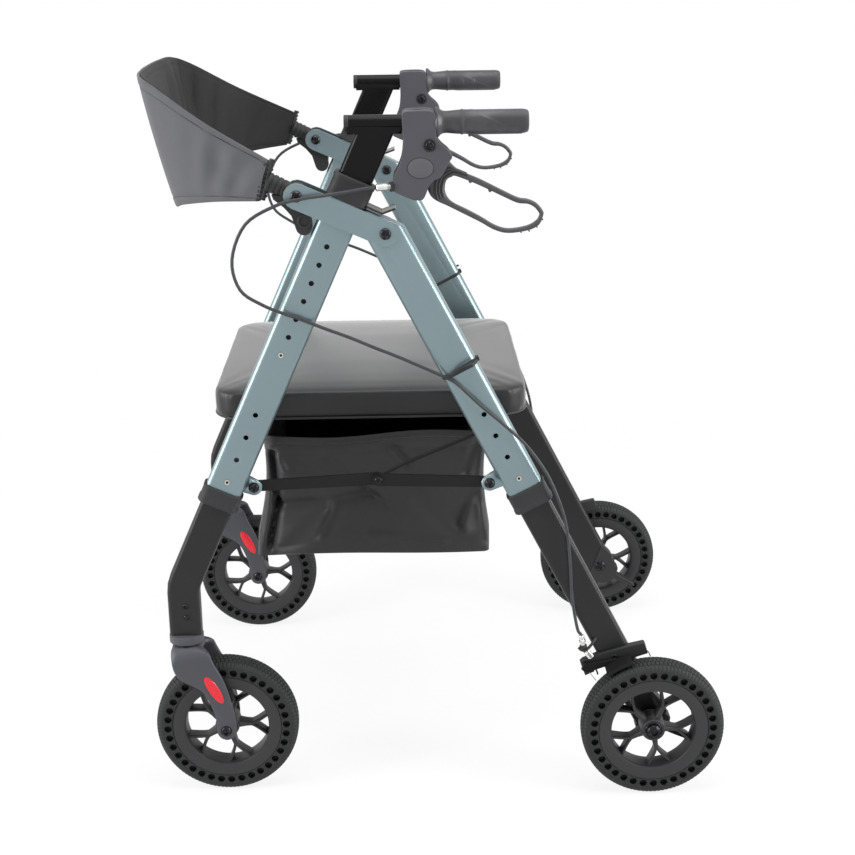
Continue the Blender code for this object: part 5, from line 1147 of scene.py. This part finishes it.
STEEL_COAT = anodised("black_coated_steel", (0.004, 0.004, 0.0045), (0.009, 0.009, 0.010), 0.42, 0.05, 0.22)
BRASS = coating("brass_pin", "zinc", (0.62, 0.55, 0.42), (0.85, 0.8, 0.7), (300, 3.0), (0.3, 0.2),
                metallic=1.0)
BRAKE_RUBBER = moulded_plastic("brake_rubber", "black_rubber", (0.005, 0.005, 0.005), (0.010, 0.010, 0.010),
                               level=0.15)
for word in SIDES:
    pad_line = [(REAR_AXLE[1] + reach * cos(turn), REAR_AXLE[2] + reach * sin(turn))
                for reach, turns in zip(PAD_RADII, (PAD_ANGLES, PAD_ANGLES[::-1])) for turn in turns]
    pad = [slab(pad_line, *PAD_X, 0.0008), slab(SHOE_ARM, *SHOE_ARM_X, 0.0010)]
    shoe = side_piece("brake_shoe_pad", word, pad, BRAKE_RUBBER, "brake_shoe")
    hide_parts(f"brake_shoe_{word}")
    dress(STEEL_COAT, f"strut_front_link_{word}", f"strut_rear_link_{word}")
    dress(BRASS, *(f"{stem}_{word}" for stem in BUTTONS))
    ring = lathe((0.0039, *STRUT_MIDDLE), OUTWARD, STRUT_WASHER, 40)
    side_piece("strut_washer", word, [ring], BLACK_STEEL, "strut_rear_link")
    head = bolt_head((0.0046, *STRUT_MIDDLE), OUTWARD, 0.0054, 0.0034)
    side_piece("strut_bolt", word, [head], BLACK_STEEL, "strut_rear_link")
    for stem, (tube, along) in BUTTONS.items():
        dimple = lathe((BUTTON_FACE, 0, along), OUTWARD, BUTTON_DIMPLE, 20)
        side_piece(f"{stem}_dimple", word, [dimple], BLACK_STEEL, stem, tube)
dress(STEEL_COAT, "front_cross_bar", "rear_cross_bar")


# Seat: a moulded board that hinges on the front bar, under a foam cushion covered in black vinyl. The cover
# is drawn over the foam, gathered at the corners and closed by a thin welt along its lower edge.
def vinyl():
    """Calendered vinyl: fine leather grain, a low sheen and faint stretch clouds."""
    finish = Finish("black_vinyl_cover", "black_vinyl", specular_ior_level=0.36, sheen_weight=0.75,
                    sheen_roughness=0.3)
    grain = finish.add("TexVoronoi", {"feature": "SMOOTH_F1"}, {"Vector": finish.place, "Scale": 620.0})
    fine = finish.noise(1500, 2.0)
    cloud = finish.noise(12, 3.0)
    finish.shade(base_color=finish.tint(cloud, (0.007, 0.007, 0.008), (0.012, 0.012, 0.013)),
                 roughness=0.33 + 0.1 * cloud, normal=finish.relief(0.7 * grain + 0.3 * fine, 0.00009, 0.7))
    return finish


SEAT_MIDDLE = np.array((0.0, -0.0870, 0.0))
SEAT_HALF = (0.206, 0.217)
SEAT_CORNER = 0.038
SEAT_PROFILE = mm((190, 538.6), (120, 538.6), (60, 538.6), (15, 538.6), (12.8, 538), (12.2, 529),
                  (9, 525.7), (4, 525), (1.2, 525.6), (0.4, 528), (0, 542), (0.1, 557.5), (0.8, 560.8),
                  (3, 563.2), (7, 564.6), (16, 566), (35, 567.4), (70, 568.4), (130, 569.2), (190, 569.4))
CUSHION_VOXEL = 0.0052
CUSHION_PRESSURE = 3.0
CUSHION_SWELL = 0.0045
CUSHION_EASE = 0.020
CUSHION_HELD_BELOW = 0.5615
CLOTH_FRAMES = 20


def plan_rings(profile, half_x, half_y, corner, middle, count):
    """A lattice of level rounded rectangles, each drawn in by an inset and set at a height."""
    rings = []
    for inset, height in profile:
        ring = rounded_ring(half_x - inset, half_y - inset, max(corner - 0.7 * inset, 0.010), count)
        rings.append(at_height(ring, height) + middle)
    return Part(np.stack(rings))


def mesh_points(mesh):
    points = np.empty(len(mesh.vertices) * 3, np.float32)
    mesh.vertices.foreach_get("co", points)
    return points.reshape(-1, 3)


def take_shape(made):
    """Applies a piece's modifiers to its mesh."""
    mesh = bpy.data.meshes.new_from_object(made.evaluated_get(bpy.context.evaluated_depsgraph_get()))
    made.modifiers.clear()
    made.data = mesh
    mesh.name = made.name


def inflate(made, voxel, pressure, swell, ease, held_below):
    """Swells the top of a closed skin like foam under a tight cover.

    It is cloth under pressure. Points below a height are held; a movement of m becomes
    swell * (1 - exp(-m / ease)).
    """
    remesh = made.modifiers.new("even_faces", "REMESH")
    remesh.mode = "VOXEL"
    remesh.voxel_size = voxel
    remesh.use_smooth_shade = True
    take_shape(made)
    start = mesh_points(made.data)
    held = made.vertex_groups.new(name="held")
    held.add(np.flatnonzero(start[:, 2] < held_below).tolist(), 1.0, "REPLACE")
    cloth = made.modifiers.new("cover", "CLOTH")
    cloth.settings.vertex_group_mass = "held"
    cloth.settings.use_pressure = True
    cloth.settings.uniform_pressure_force = pressure
    cloth.settings.effector_weights.gravity = 0.0
    for frame_number in range(1, CLOTH_FRAMES + 1):
        bpy.context.scene.frame_set(frame_number)
    swollen = made.evaluated_get(bpy.context.evaluated_depsgraph_get())
    move = mesh_points(swollen.data) - start
    made.modifiers.clear()
    bpy.context.scene.frame_set(1)
    reach = np.linalg.norm(move, axis=1, keepdims=True)
    move *= swell * (1 - np.exp(-reach / ease)) / np.maximum(reach, 1e-9)
    made.data.vertices.foreach_set("co", (start + move).ravel())
    made.data.update()


def gather(made):
    """Puts folds round the corners and soft waves along the side walls.

    A fold is cos(22 * bearing) round the corner's centre, strongest where the side turns into the top; a
    wave is the sum of two sines along the wall.
    """
    points = mesh_points(made.data) - SEAT_MIDDLE
    corner = np.array(SEAT_HALF) - SEAT_CORNER
    beyond = np.maximum(np.abs(points[:, :2]) - corner, 0)
    bearing = np.arctan2(beyond[:, 1], beyond[:, 0])
    reach = np.linalg.norm(beyond, axis=1)
    in_corner = ramp(np.minimum(beyond[:, 0], beyond[:, 1]) / 0.012)
    at_edge = bell(points[:, 2] - 0.5600, 0.0065) * ramp(reach / 0.02)
    fold = 0.0005 * np.cos(22 * bearing) * in_corner * at_edge
    wall = ramp((reach - 0.034) / 0.008) * ramp((points[:, 2] - 0.541) / 0.006)
    run = points[:, 0] * 31 + points[:, 1] * 37
    wave = 0.0005 * wall * (np.sin(run * 1.7) + 0.6 * np.sin(run * 4.1 + 1.0))
    away = np.sign(points[:, :2]) * beyond / np.maximum(reach, 1e-6)[:, None]
    points[:, :2] += away * (fold + wave)[:, None]
    made.data.vertices.foreach_set("co", (points + SEAT_MIDDLE).astype(np.float32).ravel())
    made.data.update()


dress(BLACK_NYLON, "seat_pan")
VINYL = vinyl()
cover = plan_rings(SEAT_PROFILE, *SEAT_HALF, SEAT_CORNER, SEAT_MIDDLE, 120)
cushion = piece("seat_cushion_cover", [cover], VINYL)
inflate(cushion, CUSHION_VOXEL, CUSHION_PRESSURE, CUSHION_SWELL, CUSHION_EASE, CUSHION_HELD_BELOW)
gather(cushion)
cushion.data.shade_smooth()
finer = cushion.modifiers.new("finer_faces", "SUBSURF")
finer.levels = finer.render_levels = 1
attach(cushion, "seat")
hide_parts("seat_cushion")
WELT_RADIUS = 0.0016
WELT_HEIGHT = 0.5264
WELT_ROUNDER = 0.0085
welt_ring = rounded_ring(*SEAT_HALF, SEAT_CORNER + WELT_ROUNDER, 200)
welt_path = at_height(welt_ring, WELT_HEIGHT) + SEAT_MIDDLE
welt = sweep(welt_path, UPWARD, WELT_RADIUS, WELT_RADIUS, steps=10, looped=True)
piece("seat_welt", [welt], VINYL, "seat")


# Bag: an open bag of black nylon under the seat, hemmed round its mouth, stiff in its floor and hung by
# webbing loops from the two cross bars. Its walls sag and crease between the loops.
def nylon_cloth(name, slot, dark, light, roughness, threads=1100.0, sheen=0.25, level=0.4):
    """Plain woven nylon: two threads over and under on the piece's own UV, in metres, and a sheen."""
    finish = Finish(name, slot, sheen_weight=sheen, sheen_roughness=0.4, specular_ior_level=level)
    own = finish.add("UVMap", {"uv_map": "UVMap"})
    thread = {"Vector": own, "Scale": threads * pi / 10, "Detail": 0.0}
    warp, weft = (finish.add("TexWave", {"bands_direction": way}, thread) for way in "XY")
    cloud = finish.noise(16, 4.0)
    rub = finish.noise(130, 3.0)
    finish.shade(base_color=finish.tint(0.5 * cloud + 0.25 * rub + 0.25 * warp * weft, dark, light),
                 roughness=roughness + 0.15 * cloud, normal=finish.relief(warp | weft, 0.00012, 0.6))
    return finish


BAG_MIDDLE = (0.0, -0.0814)
BAG_HALF = (0.199, 0.158)
BAG_CORNER = 0.024
BAG_LEAN = -0.0064
BAG_SPREAD = 0.0068
BAG_MOUTH_DROP = 0.007
BAG_TOP = 0.4985
BAG_FLOOR = 0.3215
BAG_THICK = 0.0014
BAG_WALL_ROWS = 60
BAG_FLOOR_ROWS = 10
BAG_COLUMNS = 440
BAG_CREASE_GAIN = 1.35
BAG_CREASES = mm(  # on the side walls: start rearward and up, end rearward and up, half width, depth
    (-225.4, 480, -221.9, 401, 5.5, 13), (-221.9, 401, -234.7, 331, 5.5, 12),
    (-227.7, 487, -209, 455, 4, -5), (-216, 338, -160, 389, 22, -8.5), (-216, 398, -90, 403, 8, 5),
    (-141, 392, -162, 352, 7, 4.5), (-200, 445, -175, 428, 18, -5.5), (-66, 489, -38, 452, 6, 4.5),
    (60, 484, 48.4, 438, 10, 7), (60, 411, 41.4, 362, 12, 7), (66, 392, 78, 340, 10, -7),
    (-103.6, 415, -70, 391, 6, 3.5), (-150, 470, -105, 400, 11, 3.5), (-90, 345, 10, 338, 10, 4),
    (-20, 395, 15, 360, 14, -4))


def creases(rearward, up):
    """How far a wall moves inwards: a bell across the distance from each crease's line."""
    total = np.zeros_like(rearward)
    for *ends, width, depth in BAG_CREASES:
        start, end = np.reshape(ends, (2, 2))
        run = end - start
        share = ((rearward - start[0]) * run[0] + (up - start[1]) * run[1]) / (run @ run)
        share = ramp(share)
        off = np.hypot(rearward - start[0] - share * run[0], up - start[1] - share * run[1])
        total += BAG_CREASE_GAIN * depth * bell(off, width)
    return total


def mouth_drop(rearward):
    """How far the mouth hangs below its rear edge: in proportion to the distance forward of it."""
    return BAG_MOUTH_DROP * (0.5 - 0.5 * rearward / BAG_HALF[1])


def bag_skin():
    """Walls from the mouth down, then the floor in to its middle.

    Each wall ring is a rounded rectangle whose corners sharpen downwards. The walls draw in at half their
    height, belly out above the floor, and move with the creases and with three slow waves.
    """
    rings = []
    for share in np.linspace(0, 1, BAG_WALL_ROWS):
        waist = 0.006 * np.sin(pi * min(share * 1.25, 1.0))
        corner = BAG_CORNER - 0.014 * share
        half_y = BAG_HALF[1] - waist + BAG_SPREAD * share
        ring = rounded_ring(BAG_HALF[0] - waist * 0.6, half_y, corner, BAG_COLUMNS) + (0, BAG_LEAN * share)
        rings.append(at_height(ring, BAG_TOP + (BAG_FLOOR - BAG_TOP) * share))
    base = rings[-1]
    for share in np.linspace(1, 0, BAG_FLOOR_ROWS)[1:]:
        rings.append(at_height(base[:, :2] * share, base[:, 2]))
    skin = np.stack(rings)
    x, y, z = skin[..., 0], skin[..., 1], skin[..., 2]
    down = ramp((BAG_TOP - z) / (BAG_TOP - BAG_FLOOR))
    wall = ramp(down / 0.12) * ramp((z - BAG_FLOOR) / 0.02)
    side = ramp((np.abs(x) - BAG_HALF[0] + 0.035) / 0.03)
    end = ramp((np.abs(y) - BAG_HALF[1] + 0.035) / 0.03)
    mirrored = np.where(x > 0, y, -0.6 * y)
    sag = 0.004 * np.sin(23 * y + 2 * down * np.sign(x)) + 0.0025 * np.sin(47 * y - 5 * down + 1) * down
    middle_share = ramp(1 - (y / BAG_HALF[1]) ** 2)
    inward = creases(mirrored + BAG_MIDDLE[1], z) + sag + 0.010 * np.sin(pi * down) * middle_share
    x -= np.sign(x) * inward * side * wall
    across_wave = 0.004 * np.sin(19 * x + 1.5 + 2 * down) + 0.003 * np.sin(41 * x - 3 * down)
    end_share = ramp(1 - (x / BAG_HALF[0]) ** 2)
    y -= np.sign(y) * (0.010 * np.sin(pi * down) * end_share + across_wave * down) * end * wall
    floor_share = ramp(1 - (x / BAG_HALF[0]) ** 2) * ramp(1 - (y / BAG_HALF[1]) ** 2)
    lowest = ramp(1 - (z - BAG_FLOOR) / 0.004)
    z -= lowest * (0.006 * floor_share ** 0.5 + 0.0012 * np.sin(30 * x + 20 * y))
    z += (1 - ramp(down / 0.1)) * 0.003 * np.sin(26 * (x + y) + 1) - (1 - down) * mouth_drop(y)
    hem = bell(down - 0.115, 0.012)
    x *= 1 - 0.004 * hem
    y *= 1 - 0.004 * hem
    skin[..., :2] += BAG_MIDDLE
    return Part(skin, capped=False)


BLACK_CLOTH = nylon_cloth("black_nylon_cloth", "black_nylon", (0.007, 0.007, 0.008),
                          (0.020, 0.020, 0.022), 0.4)
CLOTH_SHARP = radians(80)
bag_walls = piece("bag_cloth", [bag_skin()], BLACK_CLOTH)
weld(bag_walls, CLOTH_SHARP)
thick = bag_walls.modifiers.new("cloth_thickness", "SOLIDIFY")
thick.thickness = BAG_THICK
thick.offset = -1.0
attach(bag_walls, "front_frame")
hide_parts("bag")
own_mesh(bag_walls)
mouth_ring = rounded_ring(*BAG_HALF, BAG_CORNER, BAG_COLUMNS)
mouth_rise = 0.003 * np.sin(26 * mouth_ring.sum(1) + 1) - mouth_drop(mouth_ring[:, 1])
mouth_path = at_height(mouth_ring + BAG_MIDDLE, BAG_TOP + mouth_rise)
hem = sweep(mouth_path, UPWARD, 0.0050, 0.0017, squareness=3, steps=12, looped=True)
mouth = piece("bag_mouth_hem", [hem], BLACK_CLOTH, "front_frame")
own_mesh(mouth)

FRONT_BAR = (-0.2576, 0.5135, 0.0110)
REAR_BAR = (0.0940, 0.5165, 0.0095)
LOOP_PLACES = (-0.165, 0.0, 0.165)


def bag_loop(x, bar, mouth_y):
    """A webbing loop over a bar, its two ends drawn together on the bag's mouth."""
    y, z, radius = bar
    reach = radius + 0.0012
    toward = np.sign(mouth_y - y)
    angle = np.radians(np.linspace(-35, 215, 16))
    over = np.column_stack((y + toward * reach * np.cos(angle), z + reach * np.sin(angle)))
    mouth_z = BAG_TOP - mouth_drop(mouth_y - BAG_MIDDLE[1])
    low = np.array(((mouth_y, mouth_z - 0.010), (mouth_y, mouth_z + 0.004)))
    back = low[::-1] + ((toward * 0.002, -0.006), (toward * 0.002, -0.002))
    route = np.vstack((low, over, back))
    path = np.column_stack((np.full(len(route), x), route))
    return sweep(smooth(path, 2), OUTWARD, 0.0100, 0.0006, squareness=6, steps=12)


WEBBING = nylon_cloth("black_webbing", "black_nylon", (0.014, 0.014, 0.015), (0.028, 0.028, 0.030), 0.6,
                      420.0)
for name, bar, way in (("front", FRONT_BAR, -1), ("rear", REAR_BAR, 1)):
    loops = [bag_loop(x, bar, BAG_MIDDLE[1] + way * (BAG_HALF[1] + 0.001)) for x in LOOP_PLACES]
    piece(f"bag_{name}_loops", loops, WEBBING, f"{name}_frame")


# Backrest: a padded strap of grey cloth outside and black nylon inside, stitched along a hem, bound at its
# ends, and carried by a ribbed plastic plug in the crank on each front bolt.
BACKREST_PIVOT = joint_value("backrest_flip", "pos_m")
STRAP_REACH = 0.270
STRAP_HALF_THICK = 0.0035
STRAP_STATIONS = np.array([  # share of the reach, then from the pivot the upper and the lower edge (y, z)
    (1.0000, -0.0341, 0.0433, -0.0481, -0.0087), (0.8630, -0.1166, 0.0863, -0.1066, -0.0145),
    (0.7037, -0.1826, 0.1273, -0.1526, -0.0245), (0.5741, -0.2086, 0.1403, -0.1676, -0.0330),
    (0.2963, -0.2166, 0.1423, -0.1756, -0.0370), (0.0000, -0.2186, 0.1423, -0.1776, -0.0380),
])


def strap_edges():
    """The strap's upper and lower edge, all the way from the right end to the left."""
    both = np.vstack((STRAP_STATIONS * (-1, 1, 1, 1, 1), STRAP_STATIONS[-2::-1]))
    run = smooth(both, 24)
    x = run[:, 0] * STRAP_REACH
    return (np.column_stack((x, run[:, 1] + BACKREST_PIVOT[1], run[:, 2] + BACKREST_PIVOT[2])),
            np.column_stack((x, run[:, 3] + BACKREST_PIVOT[1], run[:, 4] + BACKREST_PIVOT[2])))


def strap_run():
    """The middle of the strap, half of its height and the way out of its outer face, all the way round."""
    top, low = strap_edges()
    middle, half = (top + low) / 2, (top - low) / 2
    outward = unit(np.cross(half, np.gradient(middle, axis=0)))
    return middle, half, outward * np.sign(-outward[len(outward) // 2, 1])


def strap_parts(shift, half_thick, height, relief):
    """A padded band: superellipses between the two edges, moved outwards by a shift.

    Relief is a function of the distance along the band, the height from -1 to 1 and the face (1 outside, -1
    inside) that adds to the half thickness.
    """
    middle, half, outward = strap_run()
    angle = np.linspace(0, 2 * pi, 96, endpoint=False)
    up = bend(np.sin(angle), 0.7)
    out = bend(np.cos(angle), 0.35)
    thick = half_thick + relief(reach_along(middle)[:, None], up[None], np.sign(out)[None])
    points = middle[:, None] + half[:, None] * height * up[None, :, None]
    return Part(points + outward[:, None] * (shift + thick * out[None])[..., None])


def outer_relief(along, up, face):
    """On the outside: the hems' double cloth, a seam groove beside each, and dents near the ends."""
    hem = 0.0007 * (np.abs(up) > 0.86) - 0.0009 * bell(np.abs(up) - 0.845, 0.018)
    total = along[-1]
    near_end = np.minimum(along, total - along)
    dents = bell(near_end - 0.055, 0.022) * bell(up + 0.1, 0.35)
    folds = 0.0015 * np.sin(near_end * 150 + up * 2.8) * bell(near_end - 0.06, 0.05)
    belly = 0.0016 * (1 - up ** 2)
    return (hem + belly - 0.0050 * dents + 1.5 * folds * (1 - up ** 2)) * (face > 0)


def inner_relief(along, up, face):
    """Slanting creases where the lining is pushed together on the inside of the bend."""
    total = along[-1]
    near_end = np.minimum(along, total - along)
    slant = near_end + 0.028 * up
    pucker = np.abs(np.sin(slant * 74 + 1.4 * np.sin(slant * 31))) ** 0.7
    broad = np.sin(slant * 52 + 0.8)
    strength = bell(near_end - 0.16, 0.10) * (1 - np.abs(up) ** 4)
    seam = -0.0010 * bell(np.abs(up) - 0.87, 0.02)
    return (strength * (0.0062 * pucker + 0.0034 * broad) + seam) * (face < 0)


STITCH_PITCH = 0.0048
STITCH_LENGTH = 0.0034
STITCH_PLACES = np.array((0.0, 0.25, 0.75, 1.0)) * STITCH_LENGTH
STITCH_SUNK = np.array((0.0006, 0.0, 0.0, 0.0006))[:, None]
HEM_END = 0.014


def stitches(height, shift):
    """Short threads end to end along the outside of the strap, at a share of its half height."""
    middle, half, outward = strap_run()
    line = middle + half * height + outward * shift
    along = reach_along(line)
    threads = []
    for start in np.arange(HEM_END, along[-1] - HEM_END, STITCH_PITCH):
        places = start + STITCH_PLACES
        path, normal = (np.column_stack([np.interp(places, along, column) for column in values.T])
                        for values in (line, outward))
        threads.append(sweep(path - normal * STITCH_SUNK, UPWARD, 0.0004, 0.0003, steps=6))
    return threads


GREY_CLOTH = nylon_cloth("grey_woven_cloth", "grey_fabric", (0.066, 0.067, 0.073),
                         (0.100, 0.101, 0.109), 0.72, 760.0, 0.15)
LINING = nylon_cloth("black_lining", "black_nylon", (0.007, 0.007, 0.008), (0.016, 0.016, 0.017), 0.6,
                     sheen=0.06, level=0.25)
pad = strap_parts(0.0008, STRAP_HALF_THICK - 0.0010, 1.0, outer_relief)
strap = piece("backrest_strap_pad", [pad], GREY_CLOTH, "backrest", sharp=60)
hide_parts("backrest_strap")
inside = strap_parts(-0.0024, 0.0013, 0.985, inner_relief)
lining = piece("backrest_lining", [inside], LINING, "backrest", sharp=60)
piece("backrest_stitches", stitches(0.835, 0.0030) + stitches(-0.85, 0.0028), LINING, "backrest")

BINDING_OUT = np.array((0.0, 0.0044, 0.0016))
TOOTH_RISES = np.array((-1.2, 0.4, 1.7, 2.1))[:, None]
TOOTH_HALF = mm((3.4, 2), (3.2, 2.2), (3, 2), (2.2, 1.2))
binding = []
upper_edge, lower_edge = strap_edges()
for end in (0, -1):
    high, low = upper_edge[end], lower_edge[end]
    rod = np.linspace(low + BINDING_OUT, high + BINDING_OUT, 24)
    binding.append(sweep(rod, OUTWARD, 0.0036, 0.0032, steps=16))
    for share in np.linspace(0.07, 0.93, 9):
        tooth = low + (high - low) * share + BINDING_OUT * TOOTH_RISES
        binding.append(sweep(tooth, OUTWARD, *TOOTH_HALF.T, squareness=4, steps=12))
piece("backrest_end_binding", binding, WEBBING, "backrest", sharp=60)

PLUG_START = np.array((0.0, -0.2100, 0.8640))
PLUG_END = np.array((0.0, -0.1820, 0.8508))
TAIL_BOSS = (-0.1642, 0.8136)
BRACKET_WEB = mm((-205, 847.5), (-190, 846.6), (-172, 838), (-156.5, 820), (-157, 805), (-166.6, 803.7),
                 (-176.7, 815.6), (-190, 831), (-203, 841.5))
BRACKET_WEB_X = (-0.0070, 0.0078)
BACKREST_PLUG = mm((0, 10.5), (0.8, 12.4), (4, 12.4), (4.6, 11.2), (6.4, 11.2), (7, 12.2), (11, 12.2),
                   (11.6, 11.2), (13.4, 11.2), (14, 12), (18, 12), (18.6, 11), (20.4, 11), (21, 11.6),
                   (30, 11.2))
TAIL_PROFILE = mm((0, 9.6), (1.8, 9.6), (2.4, 8.8), (2.4, 6.6), (0.6, 6))
for word in SIDES:
    dress(BLACK_NYLON, f"backrest_bracket_{word}")
    plug = lathe(PLUG_START, PLUG_END - PLUG_START, BACKREST_PLUG, 40)
    boss = lathe((0.0098, *TAIL_BOSS), OUTWARD, TAIL_PROFILE, 32)
    web = slab(BRACKET_WEB, *BRACKET_WEB_X, 0.0010)
    side_piece("backrest_plug", word, [plug, boss, web], BLACK_NYLON, "backrest")
